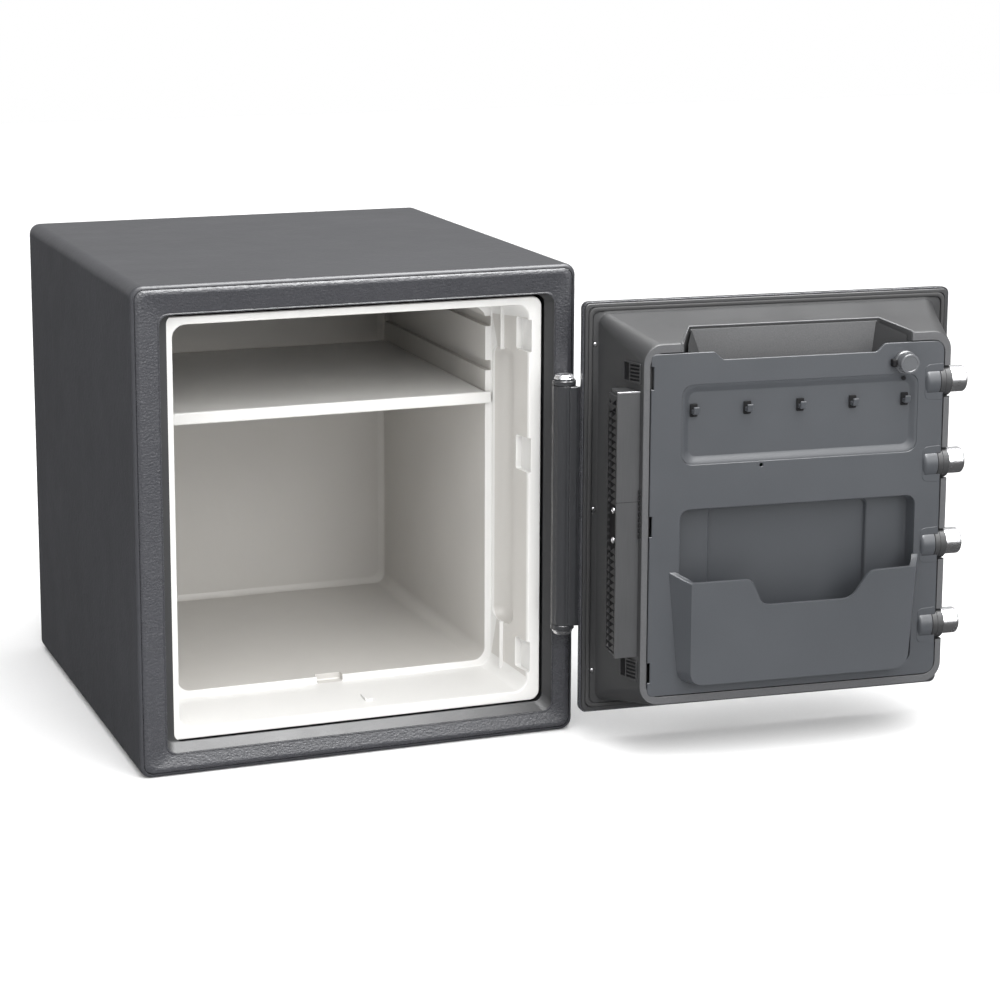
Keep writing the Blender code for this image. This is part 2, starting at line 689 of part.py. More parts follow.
def make_interior_light():
    """Round lamp on the inner panel, which points into the open body."""
    profile = (
        (0.0, 0.0128), (0.0062, 0.0128), (0.0085, 0.0112), (0.0085, 0.0045),
        (0.0118, 0.0038), (0.0125, 0.0026), (0.0125, 0.0), (0.0, 0.0),
    )
    place = (LIGHT_X, at_depth(PANEL_FACE + 0.0008 + GAP), LIGHT_Z)
    return turned("interior_light", profile, place, INWARD, "lamp_grey")


def make_bolt_collars():
    """Guide rings that the bolts slide through."""
    collars = []
    for index, height in enumerate(BOLT_HEIGHTS):
        collar = rod(f"bolt_collar_{index + 1}", "x", 0.0154, (BOLT_DEPTH, height), -0.1590, -0.1490,
                     "black_steel", sides=32)
        cut(collar, rod("collar_bore", "x", BOLT_RADIUS + 0.0006, (BOLT_DEPTH, height), -0.165, -0.145, sides=32))
        collars.append(collar)
    return collars


# ---------------------------------------------------------------- boltwork

def make_bolts():
    """Four round bolts with a rounded nose and a short shank for their foot."""
    bolts = []
    for index, height in enumerate(BOLT_HEIGHTS):
        length = BOLT_ROOT - BOLT_TIP
        profile = (
            (0.0, length), (BOLT_RADIUS - 0.0030, length), (BOLT_RADIUS - 0.0009, length - 0.0009),
            (BOLT_RADIUS, length - 0.0030), (BOLT_RADIUS, BOLT_SHANK), (SHANK_RADIUS, BOLT_SHANK),
            (SHANK_RADIUS, 0.0), (0.0, 0.0),
        )
        place = (BOLT_ROOT, at_depth(BOLT_DEPTH), height)
        turn = Matrix.Rotation(math.radians(-90), 4, "Y")
        bolts.append(turned(f"bolt_{index + 1}", profile, place, turn, "chrome", steps=32))
    return bolts


def make_bolt_bar():
    """Flat bar that carries the bolts, with a fork for the cam's peg."""
    bar = block("bolt_bar", (-0.1465, -0.1280), (BAR_BACK, BAR_FRONT), (0.0900, 0.3460), "zinc")
    for height in BOLT_HEIGHTS:
        weld(bar, block("bolt_foot", (-0.1462, -0.1432), (BAR_FRONT - 0.001, BOLT_DEPTH - SHANK_RADIUS - GAP),
                        (height - 0.005, height + 0.005)))
    peg_x = HANDLE_X - CRANK * math.sin(HANDLE_TURN / 2)
    weld(bar, block("fork", (-0.1300, -0.1045), (BAR_BACK, BAR_FRONT), (HANDLE_Z + 0.0047, HANDLE_Z + 0.020)))
    slot = PEG_RADIUS + 0.0009
    cut(bar, block("fork_slot", (peg_x - slot, peg_x + slot), (0.040, 0.060), (HANDLE_Z, HANDLE_Z + CRANK + 0.0036)))
    return bar


# ---------------------------------------------------------------- handle

def make_handle():
    """Lever, spindle and crank cam, which turn together."""
    lever = block("handle_lever", (HANDLE_X - 0.006, HANDLE_X + 0.088), (-0.0360, -0.0250),
                  (HANDLE_Z - 0.0075, HANDLE_Z + 0.0075), "zinc", bevel=0.0035)
    weld(lever, rod("hub", "depth", 0.0135, (HANDLE_X, HANDLE_Z), -0.0350, -0.0092, sides=32))
    cut(lever, rod("hub_bore", "depth", SPINDLE_RADIUS + GAP, (HANDLE_X, HANDLE_Z), -0.0283, 0.0, sides=20))
    spindle = rod("handle_spindle", "depth", SPINDLE_RADIUS, (HANDLE_X, HANDLE_Z), -0.0280, 0.0560,
                  "zinc", sides=20)
    cam = rod("handle_cam", "depth", 0.0160, (HANDLE_X, HANDLE_Z), 0.0535, 0.0565, "zinc", sides=32)
    half = HANDLE_TURN / 2
    peg = (HANDLE_X - CRANK * math.sin(half), HANDLE_Z + CRANK * math.cos(half))
    weld(cam, rod("peg", "depth", PEG_RADIUS, peg, 0.0498, 0.0545, sides=16))
    cut(cam, rod("cam_bore", "depth", SPINDLE_RADIUS + GAP, (HANDLE_X, HANDLE_Z), 0.045, 0.060, sides=20))
    return lever, spindle, cam


def make_handle_rosette():
    """Round cover plate under the lever's hub."""
    profile = ((0.0048, 0.0085), (0.0190, 0.0085), (0.0250, 0.0060), (0.0265, 0.0), (0.0048, 0.0), (0.0048, 0.0085))
    place = (HANDLE_X, at_depth(-GAP), HANDLE_Z)
    return turned("handle_rosette", profile, place, OUTWARD, "door_plastic")


# ---------------------------------------------------------------- lock and keypad

def button_places():
    """Name and centre of each key: three across, four down."""
    labels = ("1", "2", "3", "4", "5", "6", "7", "8", "9", "clear", "0", "enter")
    for index, label in enumerate(labels):
        column = index % 3 - 1
        row = index // 3
        yield f"button_{label}", KEYPAD_X + column * BUTTON_PITCH_X, BUTTON_TOP_Z - row * BUTTON_PITCH_Z


def make_keypad_housing():
    housing = block("keypad_housing", (KEYPAD_X - KEYPAD_HALF, KEYPAD_X + KEYPAD_HALF),
                    (KEYPAD_FRONT, -GAP), (KEYPAD_LOW, KEYPAD_HIGH), "door_plastic", bevel=0.005)
    for _, x, z in button_places():
        cut(housing, block("key_pocket", (x - BUTTON_HALF_X - GAP, x + BUTTON_HALF_X + GAP),
                           (KEYPAD_FRONT - 0.01, -0.0160), (z - BUTTON_HALF_Z - GAP, z + BUTTON_HALF_Z + GAP)))
    cut(housing, block("battery_room", (KEYPAD_X - 0.036, KEYPAD_X + 0.036), (KEYPAD_FRONT - 0.01, -0.0060),
                       (0.1750, 0.2000)))
    cut(housing, rod("lock_room", "depth", 0.0113, (KEYPAD_X, LOCK_Z), KEYPAD_FRONT - 0.01, -0.0035))
    cut(housing, rod("cable_room", "depth", 0.0035, (KEYPAD_X, 0.329), -0.0140, 0.005, sides=16))
    return housing


def make_buttons():
    buttons = []
    for name, x, z in button_places():
        button = block(name, (-BUTTON_HALF_X, BUTTON_HALF_X), (KEYPAD_FRONT - 0.0025, KEYPAD_FRONT + 0.0047),
                       (-BUTTON_HALF_Z, BUTTON_HALF_Z), "button_grey", bevel=0.0012)
        button.location = (x, 0, z)
        buttons.append(button)
    return buttons


def make_battery():
    pack = block("battery_pack", (KEYPAD_X - 0.033, KEYPAD_X + 0.033), (-0.0192, -0.0065), (0.1765, 0.1985),
                 "rubber_black", bevel=0.002)
    cover = block("battery_cover", (KEYPAD_X - 0.0357, KEYPAD_X + 0.0357), (KEYPAD_FRONT - 0.0003, -0.0198),
                  (0.1753, 0.1997), "door_plastic")
    return pack, cover


def make_key_lock():
    """Override lock: fixed cylinder and the turning plug with its key slot."""
    cylinder = rod("key_cylinder", "depth", 0.0110, (KEYPAD_X, LOCK_Z), -0.0250, -0.0038, "chrome", sides=32)
    cut(cylinder, rod("plug_bore", "depth", 0.0078, (KEYPAD_X, LOCK_Z), -0.030, -0.0053, sides=32))
    plug = rod("key_plug", "depth", 0.0075, (KEYPAD_X, LOCK_Z), -0.0256, -0.0056, "brass", sides=32)
    cut(plug, block("key_slot", (KEYPAD_X - 0.0009, KEYPAD_X + 0.0009), (-0.030, -0.0120),
                    (LOCK_Z - 0.0045, LOCK_Z + 0.0045)))
    return cylinder, plug


def make_electronics():
    board = block("circuit_board", (0.010, 0.090), (0.0475, 0.0491), (0.2550, 0.3400), "board_green")
    cable = rod("keypad_cable", "depth", 0.0025, (KEYPAD_X, 0.329), -0.0137, 0.0471, "rubber_black", sides=12)
    solenoid = block("lock_solenoid", (-0.1110, -0.0910), (0.0470, 0.0590), (0.2535, 0.2785), "zinc", bevel=0.001)
    cut(solenoid, rod("plunger_bore", "z", 0.0023, (-0.1010, 0.0510), 0.250, 0.2720, sides=16))
    plunger = rod("lock_plunger", "z", 0.0020, (-0.1010, 0.0510), 0.2480, 0.2660, "zinc", sides=16)
    return board, cable, solenoid, plunger


# ---------------------------------------------------------------- assembly

def build():
    make_outer_shell()
    make_front_frame()
    make_body_fill()
    make_liner()
    make_strike_plate()
    make_hinge()
    make_shelf()

    door = joint_axis("door_hinge_axis", (HINGE_X, at_depth(-HINGE_OUT), 0))
    carry(door, make_door_outer_panel(), make_door_fill(), make_door_plug(), make_door_gasket())
    carry(door, *make_hinge_bar(), make_door_hinge_leaf(), make_inner_panel(), make_document_pocket())
    carry(door, *make_key_hooks(), make_interior_light(), *make_bolt_collars())
    carry(door, make_handle_rosette(), make_keypad_housing(), *make_battery())

    slide = joint_axis("bolt_slide_axis", (BOLT_ROOT, at_depth(BOLT_DEPTH), HANDLE_Z), door)
    carry(slide, make_bolt_bar(), *make_bolts())
    turn = joint_axis("handle_turn_axis", (HANDLE_X, at_depth(0), HANDLE_Z), door)
    carry(turn, *make_handle())

    cylinder, key_plug = make_key_lock()
    key_axis = joint_axis("key_turn_axis", (KEYPAD_X, at_depth(0), LOCK_Z), door)
    carry(key_axis, key_plug)
    board, cable, solenoid, plunger = make_electronics()
    carry(door, cylinder, board, cable, solenoid, plunger, *make_buttons())

    door.rotation_euler.z = OPEN_ANGLE


build()
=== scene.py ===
"""Fire-resistant home safe with its door open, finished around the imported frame.

Lengths are metres. Door pieces are drawn closed, as (x, depth behind the front, height),
and then swung open about the door's hinge.
"""
import json
import math

import bmesh
import bpy
from mathutils import Matrix, Vector


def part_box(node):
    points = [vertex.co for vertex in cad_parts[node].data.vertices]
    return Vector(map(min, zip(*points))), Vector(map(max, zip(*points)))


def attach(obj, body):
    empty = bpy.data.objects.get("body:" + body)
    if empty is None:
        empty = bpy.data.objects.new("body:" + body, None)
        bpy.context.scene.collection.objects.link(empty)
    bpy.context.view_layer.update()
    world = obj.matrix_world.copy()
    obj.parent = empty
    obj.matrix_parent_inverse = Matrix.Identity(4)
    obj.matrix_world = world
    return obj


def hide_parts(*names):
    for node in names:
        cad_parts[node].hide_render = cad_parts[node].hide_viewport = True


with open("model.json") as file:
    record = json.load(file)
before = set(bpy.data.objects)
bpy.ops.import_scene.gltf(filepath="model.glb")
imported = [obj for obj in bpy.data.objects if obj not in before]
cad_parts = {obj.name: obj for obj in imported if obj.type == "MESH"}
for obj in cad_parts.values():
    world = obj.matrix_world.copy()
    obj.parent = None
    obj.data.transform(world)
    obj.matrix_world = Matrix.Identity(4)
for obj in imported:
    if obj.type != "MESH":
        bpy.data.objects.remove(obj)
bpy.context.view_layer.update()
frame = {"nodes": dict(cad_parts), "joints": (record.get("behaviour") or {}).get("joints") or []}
FRONT_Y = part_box("front_frame")[0].y
BODY_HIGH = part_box("outer_shell")[1]
HALF = BODY_HIGH.x
TOP = BODY_HIGH.z
DEPTH = BODY_HIGH.y - FRONT_Y


DOOR_JOINT = next(item for item in frame["joints"] if item["name"] == "door_hinge")
HINGE = Vector(DOOR_JOINT["pos_m"])


def about(pivot, angle):
    """Matrix that turns about an upright line through a point."""
    return Matrix.Translation(pivot) @ Matrix.Rotation(angle, 4, "Z") @ Matrix.Translation(-pivot)


# Swings a closed door to where it stands at rest.
OPEN = about(HINGE, -math.radians(DOOR_JOINT["range_deg"][0]))


# ---------------------------------------------------------------- materials

def new_material(name):
    material = bpy.data.materials.new(name)
    material.use_nodes = True
    nodes = material.node_tree.nodes
    return material, nodes, material.node_tree.links, nodes["Principled BSDF"]


def noise_node(nodes, links, vector, scale, detail=2.0, rough=0.5, distortion=0.0):
    node = nodes.new("ShaderNodeTexNoise")
    node.inputs["Scale"].default_value = scale
    node.inputs["Detail"].default_value = detail
    node.inputs["Roughness"].default_value = rough
    node.inputs["Distortion"].default_value = distortion
    links.new(vector, node.inputs["Vector"])
    return node.outputs["Fac"]


def stretched(nodes, links, vector, scale):
    node = nodes.new("ShaderNodeMapping")
    node.inputs["Scale"].default_value = scale
    links.new(vector, node.inputs["Vector"])
    return node.outputs["Vector"]


def ranged(nodes, links, value, low, high, to_low, to_high):
    node = nodes.new("ShaderNodeMapRange")
    node.inputs["From Min"].default_value = low
    node.inputs["From Max"].default_value = high
    node.inputs["To Min"].default_value = to_low
    node.inputs["To Max"].default_value = to_high
    links.new(value, node.inputs["Value"])
    return node.outputs["Result"]


def blended(nodes, links, first, second, share):
    node = nodes.new("ShaderNodeMix")
    node.data_type = "FLOAT"
    node.inputs[0].default_value = share
    links.new(first, node.inputs[2])
    links.new(second, node.inputs[3])
    return node.outputs[0]


def tinted(nodes, links, value, dark, light):
    node = nodes.new("ShaderNodeValToRGB")
    node.color_ramp.elements[0].position = 0.3
    node.color_ramp.elements[1].position = 0.7
    node.color_ramp.elements[0].color = (*dark, 1.0)
    node.color_ramp.elements[1].color = (*light, 1.0)
    links.new(value, node.inputs["Fac"])
    return node.outputs["Color"]


def bumped(nodes, links, height, distance, strength=1.0, below=None):
    node = nodes.new("ShaderNodeBump")
    node.inputs["Distance"].default_value = distance
    node.inputs["Strength"].default_value = strength
    links.new(height, node.inputs["Height"])
    if below is not None:
        links.new(below, node.inputs["Normal"])
    return node.outputs["Normal"]


def finish(name, colour, rough, spread=0.05, blotch=0.06, speckle=0.05, grain=1500.0, grain_depth=0.00005,
        peel=0.0, peel_scale=160.0, metallic=0.0, specular=0.5, coat=0.0, stretch=None, leather=0.0):
    """Procedural finish: colour drift and speckle, uneven gloss, fine grain and slow orange peel.

    leather above 0 adds a wrinkled grain of that depth; stretch draws the grain out along an axis.
    """
    material, nodes, links, shader = new_material(name)
    place = nodes.new("ShaderNodeTexCoord").outputs["Object"]
    shader.inputs["Metallic"].default_value = metallic
    shader.inputs["Specular IOR Level"].default_value = specular
    shader.inputs["Coat Weight"].default_value = coat
    shader.inputs["Coat Roughness"].default_value = 0.15
    drift = noise_node(nodes, links, place, 7.0, 3.0)
    grain_place = place if stretch is None else stretched(nodes, links, place, stretch)
    fine = noise_node(nodes, links, grain_place, grain, 2.0, 0.6)
    tone = blended(nodes, links, drift, fine, speckle / (blotch + speckle))
    total = blotch + speckle
    dark = [part * (1 - total) for part in colour]
    light = [min(part * (1 + total), 1.0) for part in colour]
    links.new(tinted(nodes, links, tone, dark, light), shader.inputs["Base Color"])
    gloss = blended(nodes, links, noise_node(nodes, links, place, 23.0, 4.0), fine, 0.35)
    links.new(ranged(nodes, links, gloss, 0.25, 0.75, rough - spread, rough + spread),
        shader.inputs["Roughness"])
    normal = None
    if peel:
        waves = noise_node(nodes, links, place, peel_scale, 1.0)
        normal = bumped(nodes, links, waves, peel)
    if leather:
        cells = nodes.new("ShaderNodeTexVoronoi")
        cells.feature = "SMOOTH_F1"
        cells.inputs["Scale"].default_value = 520.0
        cells.inputs["Randomness"].default_value = 1.0
        cells.inputs["Smoothness"].default_value = 0.6
        links.new(stretched(nodes, links, place, (0.62, 0.8, 1.0)), cells.inputs["Vector"])
        wrinkles = noise_node(nodes, links, place, 640.0, 3.0, 0.6, 1.2)
        hide = blended(nodes, links, cells.outputs["Distance"], wrinkles, 0.5)
        normal = bumped(nodes, links, hide, leather, below=normal)
    normal = bumped(nodes, links, fine, grain_depth, below=normal)
    links.new(normal, shader.inputs["Normal"])
    return material


SHELL = finish("shell_powder_coat", (0.04, 0.041, 0.0465), 0.4, peel=0.00022, peel_scale=210, grain=1900,
    grain_depth=0.00005, specular=0.4)
FRAME = finish("frame_wrinkle_coat", (0.046, 0.047, 0.053), 0.27, spread=0.07, blotch=0.05, speckle=0.12,
    grain=1300, grain_depth=0.00006, leather=0.00075)
WHITE = finish("liner_white_plastic", (0.67, 0.665, 0.65), 0.34, blotch=0.025, speckle=0.015,
    peel=0.00012, peel_scale=90, grain=1200, grain_depth=0.00003)
# Liner white darkened to paint the shade deep in the cavity and inside the hinge-bar channel.
SHADED_CAVITY_WHITE = finish("cavity_painted_shade_white", (0.54, 0.525, 0.5), 0.4, blotch=0.03, speckle=0.015,
    peel=0.00012, peel_scale=90, grain=1200, grain_depth=0.00003)
PLUG = finish("door_moulded_plastic", (0.032, 0.0325, 0.034), 0.46, spread=0.07, speckle=0.1, grain=1700,
    grain_depth=0.00009)
RIM = finish("rim_grained_plastic", (0.078, 0.079, 0.083), 0.4, spread=0.07, speckle=0.14, grain=1300,
    grain_depth=0.00012)
COVER = finish("cover_moulded_plastic", (0.052, 0.056, 0.063), 0.38, spread=0.06, speckle=0.07,
    grain=2100, grain_depth=0.00006, peel=0.00008, peel_scale=60)
TRAY = finish("tray_sparked_plastic", (0.1, 0.101, 0.104), 0.48, spread=0.07, speckle=0.16, grain=1100,
    grain_depth=0.00012)
BLACK = finish("hinge_black_enamel", (0.034, 0.035, 0.038), 0.25, spread=0.04, peel=0.00008,
    peel_scale=240, grain=900, specular=0.6, coat=0.25)
BAR = finish("bar_satin_steel", (0.08, 0.081, 0.084), 0.36, spread=0.08, grain=1400, grain_depth=0.00005,
    metallic=0.45, stretch=(1.0, 1.0, 0.03))
CHROME = finish("bolt_chrome", (0.84, 0.84, 0.86), 0.26, spread=0.06, blotch=0.04, speckle=0.1,
    grain=1500, grain_depth=0.00004, metallic=1.0, stretch=(0.15, 1.0, 1.0))
ZINC = finish("zinc_plate", (0.46, 0.46, 0.47), 0.34, spread=0.08, blotch=0.08, speckle=0.08, grain=1400,
    metallic=1.0, stretch=(0.05, 1.0, 1.0))
RUBBER = finish("seal_rubber", (0.03, 0.03, 0.031), 0.7, spread=0.06, grain=2600, grain_depth=0.00008)
# Near-black plastic for real dark parts, also used as painted shade behind slots and at the hook roots.
DARK = finish("dark_parts_and_painted_shade", (0.01, 0.01, 0.011), 0.66, grain=1700, specular=0.15)
PAD = finish("keypad_plastic", (0.03, 0.031, 0.034), 0.34, spread=0.06, grain=2100, grain_depth=0.00005)
KEYS = finish("key_rubber", (0.34, 0.345, 0.355), 0.52, spread=0.05, grain=2600, grain_depth=0.00006)
INK = finish("key_numbers", (0.035, 0.036, 0.04), 0.45, grain=2200)
LENS = finish("lamp_lens", (0.085, 0.088, 0.094), 0.26, spread=0.05, grain=900, peel=0.00006, coat=0.4)
BRASS = finish("brass_plug", (0.56, 0.42, 0.17), 0.28, spread=0.06, grain=1500, metallic=1.0,
    stretch=(1.0, 0.05, 1.0))
BOARD = finish("circuit_board", (0.02, 0.13, 0.055), 0.45, grain=700)
FILL = finish("cast_fill", (0.42, 0.41, 0.39), 0.85, blotch=0.1, grain=700, grain_depth=0.0002)
FLOOR = finish("studio_floor", (0.93, 0.93, 0.93), 0.9, spread=0.03, blotch=0.01, speckle=0.01, grain=300,
    grain_depth=0.00002)


# ---------------------------------------------------------------- geometry

def at(x, depth, z):
    return Vector((x, FRONT_Y + depth, z))


def add(name, mesh, material, crease=32.0):
    item = bpy.data.objects.new(name, mesh)
    bpy.context.scene.collection.objects.link(item)
    mesh.materials.clear()
    mesh.materials.append(material)
    mesh.shade_smooth()
    mesh.set_sharp_from_angle(angle=math.radians(crease))
    return item


def close_mesh(name, work):
    bmesh.ops.remove_doubles(work, verts=work.verts, dist=0.000001)
    bmesh.ops.recalc_face_normals(work, faces=work.faces)
    mesh = bpy.data.meshes.new(name)
    work.to_mesh(mesh)
    work.free()
    return mesh


def inset(box, by):
    return (box[0] + by, box[1] - by, box[2] + by, box[3] - by)


def rims(box, *rows):
    """Sections of one box from its (inset, depth, corner radius) rows."""
    return [(inset(box, by), depth, radius) for by, depth, radius in rows]


def corner_loop(box, radius, steps=10):
    """Rounded rectangle (x low, x high, z low, z high) as points in one turn."""
    radius = max(radius, 0.00005)
    x_low, x_high, z_low, z_high = box
    centres = ((x_high - radius, z_high - radius), (x_low + radius, z_high - radius),
        (x_low + radius, z_low + radius), (x_high - radius, z_low + radius))
    points = []
    for turn, (x, z) in enumerate(centres):
        for step in range(steps + 1):
            angle = math.radians(90 * turn + 90 * step / steps)
            points.append((x + radius * math.cos(angle), z + radius * math.sin(angle)))
    return points


def filleted(points, radii, steps=6):
    """Polygon with each corner rounded by its own radius."""
    rounded = []
    count = len(points)
    for index, (point, radius) in enumerate(zip(points, radii)):
        here = Vector(point)
        back = Vector(points[index - 1]) - here
        ahead = Vector(points[(index + 1) % count]) - here
        if radius <= 0:
            rounded.append(tuple(here))
            continue
        half = back.angle(ahead) / 2
        reach = min(radius / math.tan(half), back.length * 0.49, ahead.length * 0.49)
        start = here + back.normalized() * reach
        end = here + ahead.normalized() * reach
        for step in range(steps + 1):
            share = step / steps
            near = start.lerp(here, share)
            far = here.lerp(end, share)
            rounded.append(tuple(near.lerp(far, share)))
    return rounded


def rectangle(x, z, radius=0.0, steps=6):
    """Outline over two ranges, with its four corners rounded alike."""
    return filleted([(x[0], z[0]), (x[1], z[0]), (x[1], z[1]), (x[0], z[1])], [radius] * 4, steps)


def bridge(work, pairs):
    """Walls between pairs of closed loops with the same number of points."""
    for first, second in pairs:
        for index in range(len(first)):
            other = (index + 1) % len(first)
            work.faces.new((first[index], first[other], second[other], second[index]))


def loft(name, sections, material, closed=False, steps=10, crease=32.0):
    """Skin over (box, depth, corner radius) sections: capped, or closed into a ring."""
    work = bmesh.new()
    loops = []
    for box, depth, radius in sections:
        loops.append([work.verts.new(at(x, depth, z)) for x, z in corner_loop(box, radius, steps)])
    pairs = list(zip(loops, loops[1:]))
    if closed:
        pairs.append((loops[-1], loops[0]))
    bridge(work, pairs)
    if not closed:
        work.faces.new(loops[0])
        work.faces.new(loops[-1])
    return add(name, close_mesh(name, work), material, crease)


def skin(name, sections, material, crease=32.0):
    """Skin over (outline, depth) sections with the same number of (x, z) points, capped at both ends."""
    work = bmesh.new()
    loops = [[work.verts.new(at(x, depth, z)) for x, z in outline] for outline, depth in sections]
    bridge(work, zip(loops, loops[1:]))
    work.faces.new(loops[0])
    work.faces.new(loops[-1])
    return add(name, close_mesh(name, work), material, crease)


def mesh_of(curve):
    """Mesh of a curve or text, which is used up."""
    drawn = bpy.data.objects.new(curve.name, curve)
    bpy.context.scene.collection.objects.link(drawn)
    graph = bpy.context.evaluated_depsgraph_get()
    mesh = bpy.data.meshes.new_from_object(drawn.evaluated_get(graph))
    bpy.data.objects.remove(drawn)
    bpy.data.curves.remove(curve)
    return mesh


def poly_line(curve, points, cyclic=False):
    """Adds a straight-sided spline through its points."""
    spline = curve.splines.new("POLY")
    spline.points.add(len(points) - 1)
    for knot, point in zip(spline.points, points):
        knot.co = (*point, 1.0)
    spline.use_cyclic_u = cyclic


def tube(name, points, radius, material):
    """Round bead along (x, depth, z) points."""
    curve = bpy.data.curves.new(name, "CURVE")
    curve.dimensions = "3D"
    curve.bevel_depth = radius
    curve.bevel_resolution = 3
    curve.use_fill_caps = True
    poly_line(curve, [at(*point) for point in points])
    mesh = mesh_of(curve)
    return add(name, mesh, material, 50)


def plate(name, outline, low, high, material, holes=(), edge=0.0006, axis="depth", crease=32.0, rings=2):
    """Flat outline with holes, thick from low to high along an axis, with rounded edges.

    Outlines are (x, z) along depth, (depth, z) along x and (x, depth) along z.
    """
    curve = bpy.data.curves.new(name, "CURVE")
    curve.dimensions = "2D"
    curve.fill_mode = "BOTH"
    thick = high - low
    edge = min(edge, thick * 0.49)
    curve.extrude = max(thick / 2 - edge, 0.0)
    curve.bevel_depth = edge
    curve.offset = -edge
    curve.bevel_resolution = rings
    for loop in (outline, *holes):
        poly_line(curve, [(first, second, 0.0) for first, second in loop], True)
    mesh = mesh_of(curve)
    middle = (low + high) / 2
    if axis == "depth":
        shape = Matrix(((1, 0, 0, 0), (0, 0, -1, FRONT_Y + middle), (0, 1, 0, 0), (0, 0, 0, 1)))
    elif axis == "x":
        shape = Matrix(((0, 0, 1, middle), (1, 0, 0, FRONT_Y), (0, 1, 0, 0), (0, 0, 0, 1)))
    else:
        shape = Matrix(((1, 0, 0, 0), (0, 1, 0, FRONT_Y), (0, 0, 1, middle), (0, 0, 0, 1)))
    mesh.transform(shape)
    work = bmesh.new()
    work.from_mesh(mesh)
    bpy.data.meshes.remove(mesh)
    bmesh.ops.remove_doubles(work, verts=work.verts, dist=0.0000005)
    bmesh.ops.recalc_face_normals(work, faces=work.faces)
    fresh = bpy.data.meshes.new(name)
    work.to_mesh(fresh)
    work.free()
    return add(name, fresh, material, crease)


def slab(name, x, depth, z, material, edge=0.0008, rings=3):
    """Rounded bar given by its x, depth and z ranges."""
    work = bmesh.new()
    bmesh.ops.create_cube(work, size=1.0)
    size = Vector((x[1] - x[0], depth[1] - depth[0], z[1] - z[0]))
    centre = at((x[0] + x[1]) / 2, (depth[0] + depth[1]) / 2, (z[0] + z[1]) / 2)
    bmesh.ops.transform(work, matrix=Matrix.Translation(centre) @ Matrix.Diagonal(size).to_4x4(),
        verts=work.verts)
    edge = min(edge, min(size) * 0.49)
    if edge > 0:
        bmesh.ops.bevel(work, geom=list(work.edges), offset=edge, segments=rings, profile=0.5,
            affect="EDGES")
    return add(name, close_mesh(name, work), material)


AXES = {
    "x": Matrix.Rotation(math.radians(90), 4, "Y"), "-x": Matrix.Rotation(math.radians(-90), 4, "Y"),
    "depth": Matrix.Rotation(math.radians(-90), 4, "X"), "-depth": Matrix.Rotation(math.radians(90), 4,
    "X"), "z": Matrix.Identity(4), "-z": Matrix.Rotation(math.radians(180), 4, "X"),
}


def turned(name, profile, place, axis, material, steps=48, crease=32.0):
    """Profile of (radius, height) spun about an axis through a place (x, depth, z)."""
    work = bmesh.new()
    loops = []
    for radius, height in profile:
        if radius < 0.000001:
            loops.append([work.verts.new((0, 0, height))])
            continue
        ring = []
        for step in range(steps):
            angle = 2 * math.pi * step / steps
            ring.append(work.verts.new((radius * math.cos(angle), radius * math.sin(angle), height)))
        loops.append(ring)
    for first, second in zip(loops, loops[1:]):
        for step in range(steps):
            other = (step + 1) % steps
            if len(first) == 1 and len(second) == 1:
                continue
            if len(first) == 1:
                work.faces.new((first[0], second[step], second[other]))
            elif len(second) == 1:
                work.faces.new((first[step], first[other], second[0]))
            else:
                work.faces.new((first[step], first[other], second[other], second[step]))
    bmesh.ops.transform(work, matrix=Matrix.Translation(at(*place)) @ AXES[axis], verts=work.verts)
    return add(name, close_mesh(name, work), material, crease)


def arc(centre, radius, start, end, steps=5):
    """Profile points on a circle of (radius, height) space, in degrees."""
    return [(centre[0] + radius * math.cos(math.radians(start + (end - start) * step / steps)),
        centre[1] + radius * math.sin(math.radians(start + (end - start) * step / steps)))
        for step in range(steps + 1)]


def boolean(piece, tools):
    """Cut a piece with other objects, which are used up."""
    for tool in tools:
        step = piece.modifiers.new("cut", "BOOLEAN")
        step.operation = "DIFFERENCE"
        step.solver = "EXACT"
        step.object = tool
    graph = bpy.context.evaluated_depsgraph_get()
    mesh = bpy.data.meshes.new_from_object(piece.evaluated_get(graph))
    piece.modifiers.clear()
    old = piece.data
    name, material = piece.name, old.materials[0]
    work = bmesh.new()
    work.from_mesh(mesh)
    bpy.data.meshes.remove(mesh)
    bmesh.ops.remove_doubles(work, verts=work.verts, dist=0.000002)
    bmesh.ops.dissolve_degenerate(work, edges=work.edges, dist=0.000002)
    fresh = bpy.data.meshes.new(name)
    work.to_mesh(fresh)
    work.free()
    fresh.materials.clear()
    fresh.materials.append(material)
    for face in fresh.polygons:
        face.material_index = 0
    piece.data = fresh
    bpy.data.meshes.remove(old)
    for tool in tools:
        bpy.data.objects.remove(tool)
    fresh.shade_smooth()
    fresh.set_sharp_from_angle(angle=math.radians(32))
    return piece


def soften(piece, width, rings=2, angle=40.0):
    """Rounded edges on whatever is sharper than an angle."""
    step = piece.modifiers.new("soft_edges", "BEVEL")
    step.width = width
    step.segments = rings
    step.limit_method = "ANGLE"
    step.angle_limit = math.radians(angle)
    step.use_clamp_overlap = True
    step.harden_normals = False
    return piece


def joined(name, pieces):
    """One piece out of several."""
    work = bmesh.new()
    materials = []
    for piece in pieces:
        own = piece.data.materials[0]
        if own not in materials:
            materials.append(own)
        start = len(work.faces)
        work.from_mesh(piece.data)
        work.faces.ensure_lookup_table()
        for face in work.faces[start:]:
            face.material_index = materials.index(own)
    mesh = bpy.data.meshes.new(name)
    work.to_mesh(mesh)
    work.free()
    item = bpy.data.objects.new(name, mesh)
    bpy.context.scene.collection.objects.link(item)
    for own in materials:
        mesh.materials.append(own)
    for piece in pieces:
        bpy.data.objects.remove(piece)
    return item


